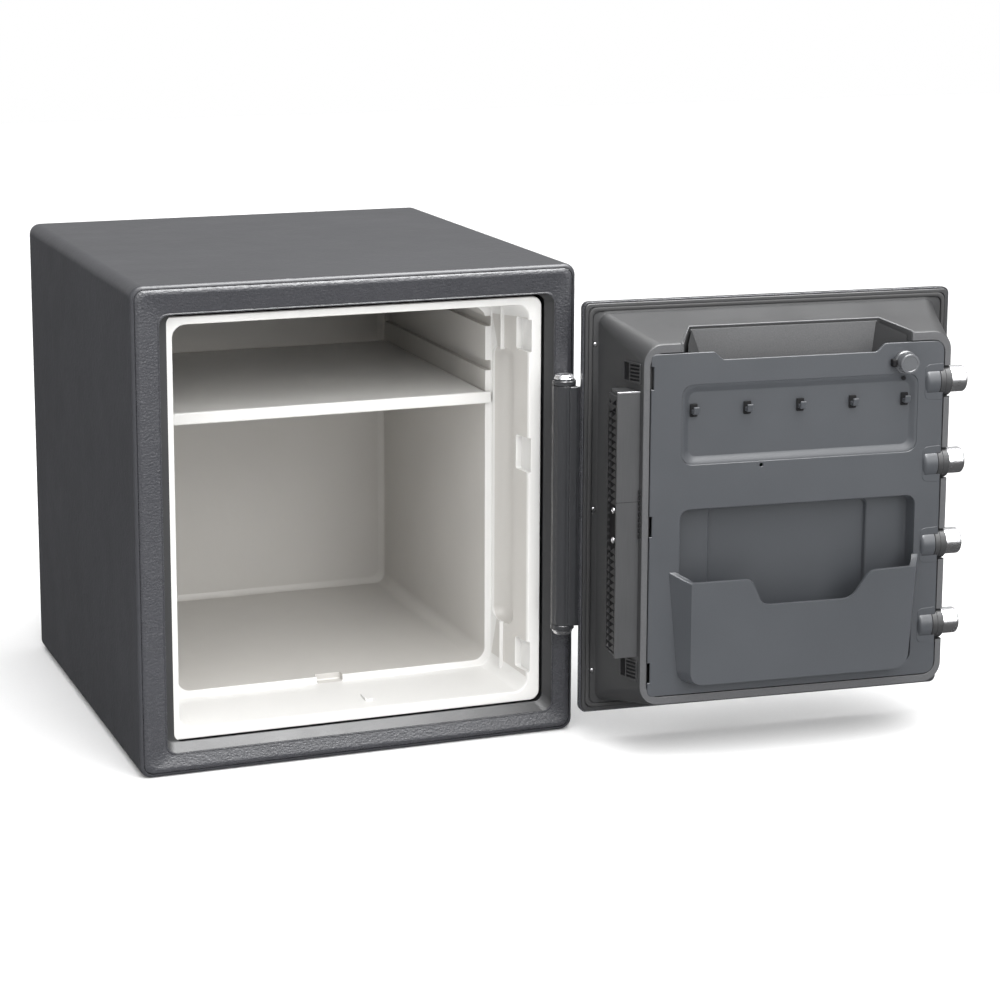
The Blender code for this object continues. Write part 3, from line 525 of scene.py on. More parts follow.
def fit(piece, body, slot, *nodes, open_door=None):
    """Swing a door piece open, hang it on its body and hide the CAD parts it stands for."""
    on_door = body not in ("cabinet", "shelf") if open_door is None else open_door
    if on_door:
        piece.data.transform(OPEN)
    even = piece.modifiers.new("even_shading", "WEIGHTED_NORMAL")
    even.keep_sharp = True
    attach(piece, body)
    if nodes:
        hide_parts(*nodes)
    return piece


# ---------------------------------------------------------------- body

BODY_BOX = (-HALF, HALF, 0.0, TOP)
EDGE = 0.011
FOLD = 0.0034
RETURN_WALL = (-0.1862, 0.1875, 0.0255, 0.4248)
LIP = (-0.186, 0.1915, 0.02, 0.4258)


def make_shell():
    """Wrapped steel shell: bead at its front edge, rounded back with a pressed panel."""
    outer = rims(BODY_BOX, (FOLD, 0.0068, 0.0088))
    for step in range(7):
        angle = math.radians(90 * step / 6)
        by = FOLD * (1 - math.sin(angle))
        outer.append((inset(BODY_BOX, by), 0.002 + 0.0042 * (1 - math.cos(angle)), EDGE - by * 0.5))
    outer += rims(BODY_BOX, (0.0, DEPTH - EDGE - 0.02, EDGE), (0.0, DEPTH - EDGE, EDGE))
    for step in range(1, 9):
        angle = math.radians(90 * step / 8)
        by = EDGE * (1 - math.cos(angle))
        outer.append((inset(BODY_BOX, by), DEPTH - EDGE * (1 - math.sin(angle)), max(EDGE - by, 0.0012)))
    outer += rims(BODY_BOX, (0.026, DEPTH, 0.006), (0.0272, DEPTH - 0.0006, 0.006),
        (0.0284, DEPTH - 0.0014, 0.006), (0.03, DEPTH - 0.0016, 0.006), (0.1, DEPTH - 0.0016, 0.01))
    inner = rims(BODY_BOX, (0.1, DEPTH - 0.0035, 0.01), (0.012, DEPTH - 0.0035, 0.004),
        (0.0035, DEPTH - 0.014, 0.008), (0.0044, 0.015, 0.008), (0.0044, 0.0068, 0.008))
    shell = loft("shell_wrap", outer + inner, SHELL, closed=True)
    panel = loft("shell_back_skin", rims(BODY_BOX, (0.099, DEPTH - 0.0032, 0.01),
        (0.099, DEPTH - 0.0016, 0.01)), SHELL)
    shell = joined("shell_wrap", [shell, panel])
    fit(shell, "cabinet", "painted_shell", "outer_shell")


def make_front_frame():
    """Front frame: groove, rolled edge, face that slopes in, sharp lip, return wall and land."""
    roll, rise = 0.0046, 0.003
    start = FOLD + 0.0003
    profile = rims(BODY_BOX, (start, 0.007, 0.0092), (start, 0.0036, 0.0092))
    for step in range(9):
        angle = math.radians(90 * step / 8)
        by = start + roll * (1 - math.cos(angle))
        profile.append((inset(BODY_BOX, by), 0.0001 + rise * (1 - math.sin(angle)), 0.009))
    face = inset(BODY_BOX, start + roll + 0.0012)
    for share, depth in ((0.0, 0.0004), (0.12, 0.001), (0.5, 0.0024), (0.9, 0.004)):
        box = tuple(a + (b - a) * share for a, b in zip(face, LIP))
        profile.append((box, depth, 0.0084 + 0.001 * share))
    land = (-0.185, 0.1862, 0.0268, 0.4236)
    hidden = (-0.1766, 0.1858, 0.0272, 0.4232)
    profile += [
        *rims(LIP, (-0.0012, 0.0041, 0.0095), (-0.0009, 0.0036, 0.0098), (-0.0004, 0.0034, 0.0098),
        (0.0001, 0.0036, 0.01), (0.0003, 0.0042, 0.01), (0.0, 0.0052, 0.01), (-0.0006, 0.0058, 0.01),
        (-0.0007, 0.0066, 0.01), (-0.0003, 0.0074, 0.01)), (land, 0.0148, 0.01),
        *rims(hidden, (0.0, 0.0155, 0.008), (0.0, 0.0159, 0.008)), (RETURN_WALL, 0.016, 0.0105),
        (RETURN_WALL, 0.03, 0.0105), ((-0.189, 0.1895, 0.0235, 0.427), 0.03, 0.0105),
        ((-0.189, 0.1935, 0.018, 0.428), 0.008, 0.0105), (inset(BODY_BOX, 0.0064), 0.0072, 0.0085),
    ]
    ring = loft("front_frame_ring", profile, FRAME, closed=True, steps=12, crease=38)
    ring.data.materials.append(PLUG)
    for face in ring.data.polygons:
        if face.center.y - FRONT_Y > 0.006:
            face.material_index = 1
    fit(ring, "cabinet", "textured_frame", "front_frame")


FLANGE = (-0.1835, 0.1835, 0.0285, 0.4215)
MOUTH = (-0.171, 0.171, 0.0385, 0.414)
JAMB = (-0.166, 0.1605, 0.045, 0.4085)
CAVITY = (-0.154, 0.154, 0.0515, 0.4015)
LINER_BACK = (-0.1872, 0.1815, 0.031, 0.4185)
SLOT_FLOORS = (0.3078, 0.3398, 0.3828)


def channel_cutter():
    """Half-round upright channel with domed ends for the hinge bar."""
    centre, reach, deep, dome = 0.064, 0.0205, 0.0146, 0.011
    wall, low, high = 0.163, 0.1055, 0.355
    work = bmesh.new()
    around = 20
    loops = []
    rise = [(-90 + 90 * step / 8) for step in range(8)] + [0.0] + [90 * step / 8 for step in range(9)]
    for index, lift in enumerate(rise):
        size = math.cos(math.radians(lift))
        z = (low if index <= 8 else high) + dome * math.sin(math.radians(lift))
        size = max(size ** 0.6, 0.02)
        ring = []
        for step in range(around):
            angle = 2 * math.pi * step / around
            across = math.copysign(abs(math.cos(angle)) ** 0.8, math.cos(angle))
            inward = math.copysign(abs(math.sin(angle)) ** 0.8, math.sin(angle))
            ring.append(work.verts.new(at(wall + deep * size * inward, centre + reach * size * across,
                z)))
        loops.append(ring)
    bridge(work, zip(loops, loops[1:]))
    work.faces.new(loops[0])
    work.faces.new(loops[-1])
    return add("channel", close_mesh("channel", work), WHITE)


def make_liner():
    """White one-piece liner: flange, tapered jamb, step, cavity, shelf slots and side pockets."""
    outer = [
        *rims(FLANGE, (0.0, 0.0174, 0.0095), (0.0, 0.0185, 0.0095)), (LINER_BACK, 0.0186, 0.012),
        (LINER_BACK, 0.3985, 0.012),
    ]
    inner = [
        *rims(CAVITY, (0.007, 0.395, 0.01), (0.003, 0.394, 0.011), (0.0008, 0.392, 0.012),
        (0.0, 0.389, 0.012), (0.0, 0.0892, 0.012), (-0.0004, 0.0882, 0.0122), (-0.0014, 0.0876, 0.0124)),
        *rims(JAMB, (0.0012, 0.0872, 0.0125), (0.0003, 0.0866, 0.013), (0.0, 0.0856, 0.013)),
        *rims(MOUTH, (0.0004, 0.0196, 0.0126), (0.0001, 0.0178, 0.0124), (-0.0005, 0.0166, 0.0122),
        (-0.0015, 0.0161, 0.012)), *rims(FLANGE, (0.0022, 0.0161, 0.0085), (0.0007, 0.0164, 0.0092)),
    ]
    liner = loft("liner_tub", outer + inner, WHITE, closed=True, steps=12)
    # The cavity's back wall takes the darker white, which is painted shade.
    back = loft("liner_back", rims(CAVITY, (0.006, 0.395, 0.01), (0.006, 0.3985, 0.01)), SHADED_CAVITY_WHITE)
    tools = [channel_cutter()]
    tools.append(slab("strike", (-0.183, -0.15), (0.0475, 0.083), (0.088, 0.366), WHITE, 0.003))
    for low in SLOT_FLOORS:
        for side in (-1, 1):
            ends = sorted((side * 0.15, side * 0.1596))
            tools.append(slab("slot", ends, (0.077, 0.3885), (low, low + 0.0101), WHITE, 0.0009, 2))
    for low, high in ((0.3685, 0.3995), (0.2525, 0.286), (0.057, 0.0865)):
        outline = rectangle((0.012, 0.04), (low, high), 0.003)
        tools.append(plate("pocket", outline, 0.16, 0.1735, WHITE, edge=0.0, axis="x"))
    for low, high in ((0.12, 0.15), (0.3, 0.33)):
        outline = rectangle((0.02, 0.04), (low, high), 0.003)
        tools.append(plate("pocket", outline, -0.1735, -0.16, WHITE, edge=0.0, axis="x"))
    tools.append(slab("sill_notch", (-0.018, 0.008), (0.08, 0.096), (0.0452, 0.056), WHITE, 0.0015))
    boolean(liner, tools)
    # Painted shade: faces deep in the cavity and inside the hinge-bar channel take the darker white.
    liner.data.materials.append(SHADED_CAVITY_WHITE)
    for face in liner.data.polygons:
        depth = face.center.y - FRONT_Y
        channel = face.center.x > 0.164 and 0.045 < depth < 0.085 and 0.094 < face.center.z < 0.3665
        if depth > 0.088 or channel:
            face.material_index = 1
    soften(liner, 0.0008, 2, 50)
    back.data.shade_smooth()
    fit(back, "cabinet", "liner_white")
    fit(liner, "cabinet", "liner_white", "liner", "body_fill")
    beads = []
    for low, high in ((0.364, 0.407), (0.047, 0.0955)):
        outline = rectangle((0.16, 0.1612), (low, high), 0.0003)
        beads.append(slab("bead", (0.1606, 0.1652), (0.063, 0.0652), (low, high), WHITE, 0.0009))
    beads.append(slab("mark", (0.013, 0.0142), (0.033, 0.048), (0.0405, 0.0432), WHITE, 0.0005))
    beads.append(slab("mark", (0.013, 0.021), (0.033, 0.0342), (0.04, 0.042), WHITE, 0.0005))
    fit(joined("liner_beads", beads), "cabinet", "liner_white")
    strip = slab("strike_strip", (-0.1827, -0.17), (0.0478, 0.0498), (0.0883, 0.3657), ZINC, 0.0004)
    fit(strip, "cabinet", "zinc", "strike_plate")


def make_shelf():
    """White shelf: rounded lip, side runners, ribs underneath."""
    low, high = 0.3083, 0.3198
    parts = [
        slab("lip", (-0.159, 0.159), (0.0825, 0.0865), (low, high), WHITE, 0.0018, 4),
        slab("deck", (-0.1532, 0.1532), (0.084, 0.385), (high - 0.003, high), WHITE, 0.0008),
        slab("left_wall", (-0.1532, -0.1508), (0.085, 0.385), (low, high - 0.0005), WHITE, 0.0006),
        slab("right_wall", (0.1508, 0.1532), (0.085, 0.385), (low, high - 0.0005), WHITE, 0.0006),
        slab("back_wall", (-0.1532, 0.1532), (0.3826, 0.385), (low, high - 0.0005), WHITE, 0.0006),
        slab("left_runner", (-0.158, -0.1525), (0.0875, 0.384), (low, low + 0.0085), WHITE, 0.001),
        slab("right_runner", (0.1525, 0.158), (0.0875, 0.384), (low, low + 0.0085), WHITE, 0.001),
    ]
    for index in range(5):
        x = -0.1 + 0.05 * index
        parts.append(slab("rib", (x - 0.0008, x + 0.0008), (0.086, 0.383), (low + 0.004, high - 0.0025),
            WHITE, 0.0004))
    for index in range(4):
        depth = 0.145 + 0.06 * index
        parts.append(slab("rib", (-0.1515, 0.1515), (depth - 0.0008, depth + 0.0008),
            (low + 0.004, high - 0.0025), WHITE, 0.0004))
    fit(joined("shelf_board", parts), "shelf", "liner_white", "shelf")


# ---------------------------------------------------------------- hinge

HINGE_X = HINGE.x
HINGE_D = HINGE.y - FRONT_Y
HINGE_LOW, HINGE_HIGH, KNUCKLE = 0.1065, 0.3465, 0.0047


def hinge_profile(low, high, radius, lip=0.0006):
    return [(0.0043, low), (radius - lip, low), (radius, low + lip), (radius, high - lip),
        (radius - lip, high), (0.0043, high), (0.0043, low)]


def make_hinge():
    """Bracket and knuckles on the body, long ribbed sleeve on the door, pin heads."""
    radius = 0.0112
    parts = [slab("leaf", (HINGE_X + 0.001, HINGE_X + 0.0085), (-0.0018, -0.0003),
        (HINGE_LOW, HINGE_HIGH), BLACK, 0.0004)]
    for low in (HINGE_LOW, HINGE_HIGH - KNUCKLE):
        parts.append(turned("knuckle", hinge_profile(low, low + KNUCKLE, radius), (HINGE_X, HINGE_D, 0),
            "z", BLACK))
        parts.append(slab("web", (HINGE_X + 0.0062, HINGE_X + 0.0104), (HINGE_D + 0.001, -0.0008),
            (low, low + KNUCKLE), BLACK, 0.0005))
    fit(joined("hinge_frame_bracket", parts), "cabinet", "black_steel", "hinge_bracket")
    low, high = HINGE_LOW + KNUCKLE + 0.0003, HINGE_HIGH - KNUCKLE - 0.0003
    fluted = []
    for step in range(96):
        angle = 2 * math.pi * step / 96
        flute = 0.00045 * (0.5 + 0.5 * math.cos(12 * angle)) ** 3
        fluted.append((HINGE_X + (radius - flute) * math.cos(angle),
            HINGE_D + (radius - flute) * math.sin(angle)))
    bore = [(HINGE_X + 0.0043 * math.cos(math.radians(15 * k)),
        HINGE_D + 0.0043 * math.sin(math.radians(15 * k))) for k in range(24)]
    sleeve = plate("sleeve", fluted, low, high, BLACK, holes=[bore], edge=0.0004, axis="z", crease=50)
    leaf = plate("sleeve_leaf", filleted([(HINGE_X - 0.052, low), (HINGE_X - 0.008, low),
        (HINGE_X - 0.008, high), (HINGE_X - 0.052, high)], [0.003, 0, 0, 0.003]), -0.0033, -0.0003, BLACK,
        edge=0.0007)
    curl = slab("sleeve_curl", (HINGE_X - 0.0105, HINGE_X - 0.002), (HINGE_D + 0.006, -0.0003),
        (low, high), BLACK, 0.001)
    screws = []
    for z in (low + 0.02, (low + high) / 2, high - 0.02):
        screws.append(screw_head("leaf_screw", (HINGE_X - 0.04, -0.0033, z), "-depth", 0.0042, 0.0012,
            BLACK))
        screws.append(screw_head("leaf_screw", (HINGE_X - 0.024, -0.0033, z), "-depth", 0.0042, 0.0012,
            BLACK))
    fit(joined("hinge_sleeve", [sleeve, leaf, curl, *screws]), "door", "black_steel", "door_hinge_leaf")
    cap = [(0.0, 0.005)] + arc((0.0062, 0.0022), 0.0027, 90, 10, 6) + [(0.0092, 0.002), (0.0097, 0.0016),
        (0.0097, 0.0008), (0.009, 0.0), (0.0, 0.0)]
    for name, z, axis in (("top", HINGE_HIGH + 0.0003, "z"), ("bottom", HINGE_LOW - 0.0003, "-z")):
        dome = turned(f"hinge_head_{name}", cap, (HINGE_X, HINGE_D, z), axis, CHROME)
        fit(dome, "cabinet", "chrome", f"hinge_cap_{name}")


def screw_head(name, place, axis, radius, height, material):
    """Domed screw head with a recessed drive, on a surface at its place."""
    profile = [(0.0, height * 0.3), (radius * 0.3, height * 0.34), (radius * 0.36, height * 0.94),
        (radius * 0.62, height * 0.9), (radius * 0.88, height * 0.55), (radius, height * 0.05),
        (radius, -0.0002), (0.0, -0.0002)]
    return turned(name, profile, place, axis, material, steps=24)


# ---------------------------------------------------------------- door, inner side

DOOR_BOX = (-0.184, 0.184, 0.029, 0.4225)
PLUG_FOOT = (-0.1665, 0.1685, 0.041, 0.411)
PLUG_FACE = (-0.1568, 0.1488, 0.052, 0.393)
FOOT_DEPTH = 0.0105
FACE = 0.0773
PLUG_EDGE = 0.0753
COVER_FACE = 0.0781
COVER_BOX = (-0.1489, 0.1409, 0.0611, 0.3834)
COVER_SEAT = (-0.1498, 0.1418, 0.0602, 0.3843)
WORKS_ROOM = (-0.1475, 0.1395, 0.063, 0.3465)
FILL_ROOM = (-0.15, 0.15, 0.056, 0.395)
NOTCH_X = (-0.175, -0.14)
BOLT_HEIGHTS = (0.3445, 0.266, 0.1875, 0.109)
BOLT_DEPTH = 0.067


def make_door_pan():
    """Pressed steel pan over the door's outside, with a shallow raised field."""
    sections = rims(DOOR_BOX, (0.0013, 0.0098, 0.0055), (0.0004, 0.01, 0.006), (0.0, 0.0094, 0.0064),
        (0.0, 0.0034, 0.0064), (0.0003, 0.0021, 0.0062), (0.0012, 0.001, 0.0056), (0.0026, 0.0004, 0.005),
        (0.0046, 0.0002, 0.0045), (0.012, 0.0002, 0.006), (0.0132, 0.0005, 0.006),
        (0.0144, 0.0012, 0.006), (0.016, 0.0012, 0.006), (0.0172, 0.0006, 0.006),
        (0.0186, 0.00015, 0.006), (0.021, 0.0, 0.007), (0.0225, 0.0, 0.007))
    inside = rims(DOOR_BOX, (0.0225, 0.0013, 0.007), (0.0045, 0.0014, 0.004), (0.0013, 0.004, 0.005))
    pan = loft("door_pan", inside + sections, FRAME, steps=10)
    fit(pan, "door", "textured_frame", "door_outer_panel")


def make_door_moulding():
    """Moulded inner door: stepped flange, tapered plug with a rim, top tray, bolt notches."""
    flange = inset(DOOR_BOX, 0.0016)
    sections = [
        *rims(flange, (0.003, 0.0015, 0.004), (0.0, 0.0036, 0.005), (0.0, 0.0108, 0.005),
        (0.0004, 0.0113, 0.005), (0.0012, 0.0115, 0.005), (0.003, 0.0115, 0.0055),
        (0.0036, 0.0105, 0.0055), (0.0076, 0.0105, 0.0065), (0.008, 0.0112, 0.0065)),
        *rims(PLUG_FOOT, (-0.003, 0.0112, 0.0115), (-0.0012, 0.0118, 0.0105), (-0.0002, 0.0132, 0.01),
        (0.0004, 0.016, 0.01)),
    ]
    for share in (0.3, 0.6, 0.9):
        box = tuple(a + (b - a) * share for a, b in zip(PLUG_FOOT, PLUG_FACE))
        sections.append((box, FOOT_DEPTH + (PLUG_EDGE - FOOT_DEPTH) * share, 0.01 + 0.009 * share))
    sections += rims(PLUG_FACE, (0.0, 0.0742, 0.019), (0.0002, 0.0757, 0.019), (0.0009, 0.0768, 0.0186),
        (0.002, FACE, 0.0178), (0.005, FACE, 0.015))
    plug = loft("door_moulding", sections, PLUG, steps=12)
    tools = [
        loft("fill_room", [(FILL_ROOM, -0.005, 0.01), (FILL_ROOM, 0.041, 0.01)], PLUG),
        loft("works_room", [(WORKS_ROOM, 0.0465, 0.01), (WORKS_ROOM, 0.085, 0.01)], PLUG),
        slab("corner_room", (-0.1473, -0.125), (0.0465, 0.085), (0.33, 0.359), PLUG, 0.0),
        loft("cover_seat", [(COVER_SEAT, FACE - 0.0036, 0.0124), (COVER_SEAT, 0.085, 0.0124)], PLUG),
    ]
    tray = filleted([(0.0925, 0.044), (0.1155, 0.088), (-0.1225, 0.088), (-0.0955, 0.044)],
        [0.006, 0.0, 0.0, 0.006])
    tools.append(plate("tray_room", tray, 0.352, 0.43, PLUG, edge=0.0, axis="z"))
    for height in BOLT_HEIGHTS:
        notch = [(0.0, -0.175)] + [(0.016, -0.175), (0.016, -0.14), (0.0, -0.14)]
        tools.append(turned("notch", [(radius, x) for radius, x in notch], (0, BOLT_DEPTH, height), "x",
            PLUG))
        tools.append(slab("notch_mouth", NOTCH_X, (BOLT_DEPTH, 0.092), (height - 0.015, height + 0.015),
            PLUG, 0.0))
    boolean(plug, tools)
    soften(plug, 0.0007, 2, 38)
    fit(plug, "door", "door_plastic", "door_plug")
    make_rim(tray)
    lining = plate("tray_back", filleted([(-0.0945, 0.3525), (0.0915, 0.3525), (0.093, 0.399),
        (-0.096, 0.399)], [0.002] * 4), 0.0436, 0.0446, TRAY, edge=0.0004)
    floor = plate("tray_floor", filleted([(0.0915, 0.0445), (0.1075, 0.0738), (-0.1155, 0.0738),
        (-0.0945, 0.0445)], [0.004, 0.002, 0.002, 0.004]), 0.3516, 0.3528, TRAY, edge=0.0004, axis="z")
    fit(joined("tray_lining", [lining, floor]), "door", "door_plastic")
    for name, high_x, low_x, mouth_x in (("left", 0.0905, 0.074, 0.104),
            ("right", -0.0935, -0.088, -0.112)):
        back = [(high_x, 0.3985), (low_x, 0.3532), (high_x, 0.3532)]
        front = [(mouth_x, 0.39), (mouth_x - (high_x - low_x) * 0.8, 0.3532), (mouth_x, 0.3532)]
        wedge = skin(f"tray_end_{name}", [(back, 0.0448), (front, 0.073)], PLUG)
        fit(wedge, "door", "door_plastic")
    outer = (-0.179, 0.179, 0.034, 0.4175)
    seal = loft("door_seal", rims(outer, (0.0, 0.01, 0.0075), (0.0, 0.0114, 0.0076),
        (0.0003, 0.0121, 0.0074), (0.001, 0.0125, 0.007), (0.0027, 0.0125, 0.0066),
        (0.0034, 0.0121, 0.0062), (0.0037, 0.0113, 0.006), (0.0034, 0.01, 0.006)), RUBBER, closed=True)
    fit(seal, "door", "rubber_black", "door_gasket")


def make_rim(tray):
    """Flat grained rim round the cover and a raised bead round the tray."""
    seat = corner_loop(COVER_SEAT, 0.0124, 8)
    rim = plate("plug_rim", corner_loop(inset(PLUG_FACE, 0.001), 0.0184, 10), FACE - 0.001, FACE + 0.0003,
        RIM, holes=[seat], edge=0.0004)
    tools = [plate("tray_room", tray, 0.352, 0.43, PLUG, edge=0.0, axis="z")]
    for height in BOLT_HEIGHTS:
        tools.append(slab("rim_gap", NOTCH_X, (0.07, 0.092), (height - 0.015, height + 0.015), PLUG, 0.0))
    boolean(rim, tools)
    fit(rim, "door", "door_plastic")
    path = [(-0.117, 0.0772, 0.3846), (-0.117, 0.0772, 0.392), (-0.1163, 0.0755, 0.3932),
        (-0.0962, 0.0446, 0.4016), (0.0932, 0.0446, 0.4016), (0.1112, 0.0755, 0.3932),
        (0.1118, 0.0772, 0.392), (0.1118, 0.0772, 0.3846)]
    fit(tube("tray_bead", path, 0.0009, RIM), "door", "door_plastic")


RECESS = (-0.1235, 0.111, 0.074, 0.237)
RECESS_DEPTH = 0.062
KEY_FIELD = (-0.123, 0.1105, 0.279, 0.3535)
FIELD_DROP = 0.0036


def cover_outline():
    """Cover's edge, with the dip under the tray and clip notches on its hinge side."""
    x_low, x_high, z_low, z_high = COVER_BOX
    points, radii = [], []

    def corner(x, z, radius):
        points.append((x, z))
        radii.append(radius)

    corner(x_high, z_low, 0.012)
    for low, high in ((0.0745, 0.0935), (0.2135, 0.2325), (0.351, 0.372)):
        corner(x_high, low, 0.0003)
        corner(x_high - 0.0026, low, 0.0003)
        corner(x_high - 0.0026, high, 0.0003)
        corner(x_high, high, 0.0003)
    corner(x_high, z_high, 0.0115)
    corner(0.08, z_high, 0.004)
    corner(0.0715, 0.3757, 0.006)
    corner(-0.0805, 0.3757, 0.006)
    corner(-0.0885, z_high, 0.004)
    corner(x_low, z_high, 0.0115)
    for height in BOLT_HEIGHTS:
        corner(x_low, height + 0.0102, 0.0003)
        corner(-0.1318, height + 0.0102, 0.0003)
        corner(-0.1318, height - 0.0102, 0.0003)
        corner(x_low, height - 0.0102, 0.0003)
    corner(x_low, z_low, 0.012)
    return filleted(points, radii, 7)


def make_cover():
    """Cover of the boltwork: key field, document recess, bolt housings."""
    recess = corner_loop(RECESS, 0.009, 8)
    field = filleted([(KEY_FIELD[0], KEY_FIELD[2]), (KEY_FIELD[1], KEY_FIELD[2]),
        (KEY_FIELD[1], KEY_FIELD[3]), (KEY_FIELD[0], KEY_FIELD[3])], [0.012] * 4, 8)
    pin_hole = [(0.0322 + 0.0017 * math.cos(math.radians(20 * k)),
        0.2752 + 0.0017 * math.sin(math.radians(20 * k))) for k in range(18)]
    sheet = plate("cover_sheet", cover_outline(), COVER_FACE - 0.003, COVER_FACE, COVER,
        holes=[recess, field, pin_hole], edge=0.0007, rings=3)
    parts = [sheet]
    parts.append(sunk_field("key_field", KEY_FIELD, 0.012))
    well = (-0.081, 0.077, 0.1, 0.233)
    parts.append(loft("recess_tub", [*rims(well, (0.002, RECESS_DEPTH - 0.0048, 0.005),
        (0.001, RECESS_DEPTH - 0.0044, 0.0055), (0.0, RECESS_DEPTH - 0.0008, 0.006),
        (-0.001, RECESS_DEPTH, 0.0065)), *rims(RECESS, (0.0045, RECESS_DEPTH, 0.007),
        (0.0022, RECESS_DEPTH + 0.0012, 0.008), (0.0012, RECESS_DEPTH + 0.0035, 0.0085),
        (0.0, COVER_FACE - 0.002, 0.009), (-0.0004, COVER_FACE - 0.001, 0.0094),
        (-0.0016, COVER_FACE - 0.0012, 0.0098), (-0.0012, RECESS_DEPTH - 0.0018, 0.009)),
        *rims(well, (-0.0016, RECESS_DEPTH - 0.002, 0.0065), (-0.001, RECESS_DEPTH - 0.0062, 0.006))],
        COVER, steps=8))
    cover = joined("boltwork_cover", parts)
    fit(cover, "door", "panel_plastic", "inner_panel")
    for index, height in enumerate(BOLT_HEIGHTS):
        make_bolt_housing(index + 1, height)


def sunk_field(name, box, radius):
    """Shallow pressed field with soft sloping sides and a flat floor."""
    sections = rims(box, (0.0078, COVER_FACE - FIELD_DROP, 0.007),
        (0.0066, COVER_FACE - FIELD_DROP + 0.0002, 0.0078),
        (0.0052, COVER_FACE - FIELD_DROP + 0.001, 0.0088), (0.003, COVER_FACE - 0.0014, 0.0098),
        (0.0014, COVER_FACE - 0.0007, radius - 0.0006), (-0.0003, COVER_FACE - 0.0006, radius),
        (-0.0004, COVER_FACE - 0.0024, radius), (0.006, COVER_FACE - FIELD_DROP - 0.0014, 0.008))
    return loft(name, sections, COVER, steps=8)


def make_bolt_housing(index, height):
    """Half-round boss on the cover, the dark guide ring and the bolt in it."""
    boss = [(0.0, 0.0)] + [(0.011, 0.0)] + arc((0.0112, 0.0038), 0.0038, -80, 0, 5) + [(0.0151, 0.006),
        (0.0152, 0.014), (0.0146, 0.0144), (0.0137, 0.0144), (0.0137, 0.003), (0.0108, 0.0012),
        (0.0, 0.0012)]
    piece = turned(f"bolt_boss_{index}", boss, (-0.1303, BOLT_DEPTH, height), "-x", COVER, 56)
    foot = [(-0.148, height - 0.0175), (-0.13, height - 0.0165), (-0.13, height + 0.0165),
        (-0.148, height + 0.0175), (-0.148, height + 0.0102), (-0.1322, height + 0.0102),
        (-0.1322, height - 0.0102), (-0.148, height - 0.0102)]
    saddle = plate(f"saddle_{index}", filleted(foot, [0.001, 0.006, 0.006, 0.001, 0.0, 0.0, 0.0, 0.0]),
        COVER_FACE - 0.0014, COVER_FACE + 0.0004, COVER, edge=0.0004)
    fit(joined(f"bolt_boss_{index}", [piece, saddle]), "door", "panel_plastic")
    ring = [(0.0131, 0.0), (0.0146, 0.0), (0.015, 0.0004), (0.015, 0.005), (0.0154, 0.0054),
        (0.0154, 0.0108), (0.015, 0.0114), (0.0138, 0.0116), (0.0131, 0.0112), (0.0131, 0.0)]
    collar = turned(f"bolt_ring_{index}", ring, (-0.145, BOLT_DEPTH, height), "-x", PLUG, 56)
    fit(collar, "door", "black_steel", f"bolt_collar_{index}")
    length = 0.0258
    nose = [(0.0, length)] + [(0.0088, length)] + arc((0.0099, length - 0.0026), 0.0026, 85, 0,
        5) + [(0.0125, 0.0012), (0.012, 0.0008), (0.007, 0.0008), (0.007, 0.0), (0.0, 0.0)]
    bolt = turned(f"locking_bolt_{index}", nose, (-0.148, BOLT_DEPTH, height), "-x", CHROME, 56)
    fit(bolt, "bolt_carriage", "chrome", f"bolt_{index}")


def pocket_outline(left, right, top, dip, low, radii):
    """Pocket's outline: left is the hinge side; each side is (x at the foot, x at the top)."""
    points = [(left[0], low), (left[1], top[0]), (0.0455, top[1]), (0.034, dip), (-0.054, dip),
        (-0.072, top[2]), (right[1], top[3]), (right[0], low)]
    return filleted(points, radii, 9)


def make_document_pocket():
    """Pocket in front of the recess: splayed sides, bowed front, curved dip."""
    start, front, low = COVER_FACE + 0.0003, 0.0948, 0.0727
    radii = [0.014, 0.0012, 0.009, 0.011, 0.017, 0.015, 0.0012, 0.017]
    back = pocket_outline((0.111, 0.1212), (-0.119, -0.129), (0.179, 0.178, 0.179, 0.18), 0.15, low,
        radii)
    middle = pocket_outline((0.1075, 0.111), (-0.1165, -0.1235), (0.1735, 0.173, 0.1735, 0.1745), 0.1475,
        low, radii)
    face = pocket_outline((0.1045, 0.1048), (-0.113, -0.1195), (0.171, 0.1708, 0.1708, 0.1722), 0.1455,
        low + 0.001, radii)
    body = skin("document_holder", [(back, start), (middle, start + 0.009), (face, front)], COVER)
    inner = [0.012, 0.0, 0.0, 0.0, 0.0, 0.0, 0.0, 0.02]
    high = (0.23, 0.231, 0.231, 0.23)
    deep = pocket_outline((0.1085, 0.1182), (-0.1135, -0.1256), high, 0.2305, low + 0.0036, inner)
    near = pocket_outline((0.1022, 0.1024), (-0.108, -0.1164), high, 0.2305, low + 0.0046, inner)
    boolean(body, [skin("holder_room", [(deep, start - 0.008), (deep, start), (near, front - 0.0024)],
        COVER)])
    soften(body, 0.0009, 3, 50)
    fit(body, "door", "panel_plastic", "document_pocket")


def make_hooks():
    """Five small hooks on the key field."""
    seat = COVER_FACE - FIELD_DROP
    for index in range(5):
        x = 0.0986 - 0.0523 * index
        z = 0.33
        side = filleted([(seat, z - 0.0034), (seat + 0.0086, z - 0.0034), (seat + 0.0098, z + 0.0036),
            (seat + 0.0076, z + 0.004), (seat + 0.0068, z - 0.0004), (seat, z + 0.0006)],
            [0.0, 0.0016, 0.0008, 0.0006, 0.0012, 0.0], 4)
        hook = plate("arm", side, x - 0.0027, x + 0.0027, COVER, edge=0.0006, axis="x")
        # Painted shade: a dark plate at each hook's root stands for the shade of the recess there.
        shaded_root = plate("shaded_root", rectangle((x - 0.0036, x + 0.0036), (z - 0.0066, z + 0.0056), 0.0012), seat,
            seat + 0.0016, DARK, edge=0.0005)
        fit(joined(f"hook_{index + 1}", [hook, shaded_root]), "door", "panel_plastic", f"key_hook_{index + 1}")


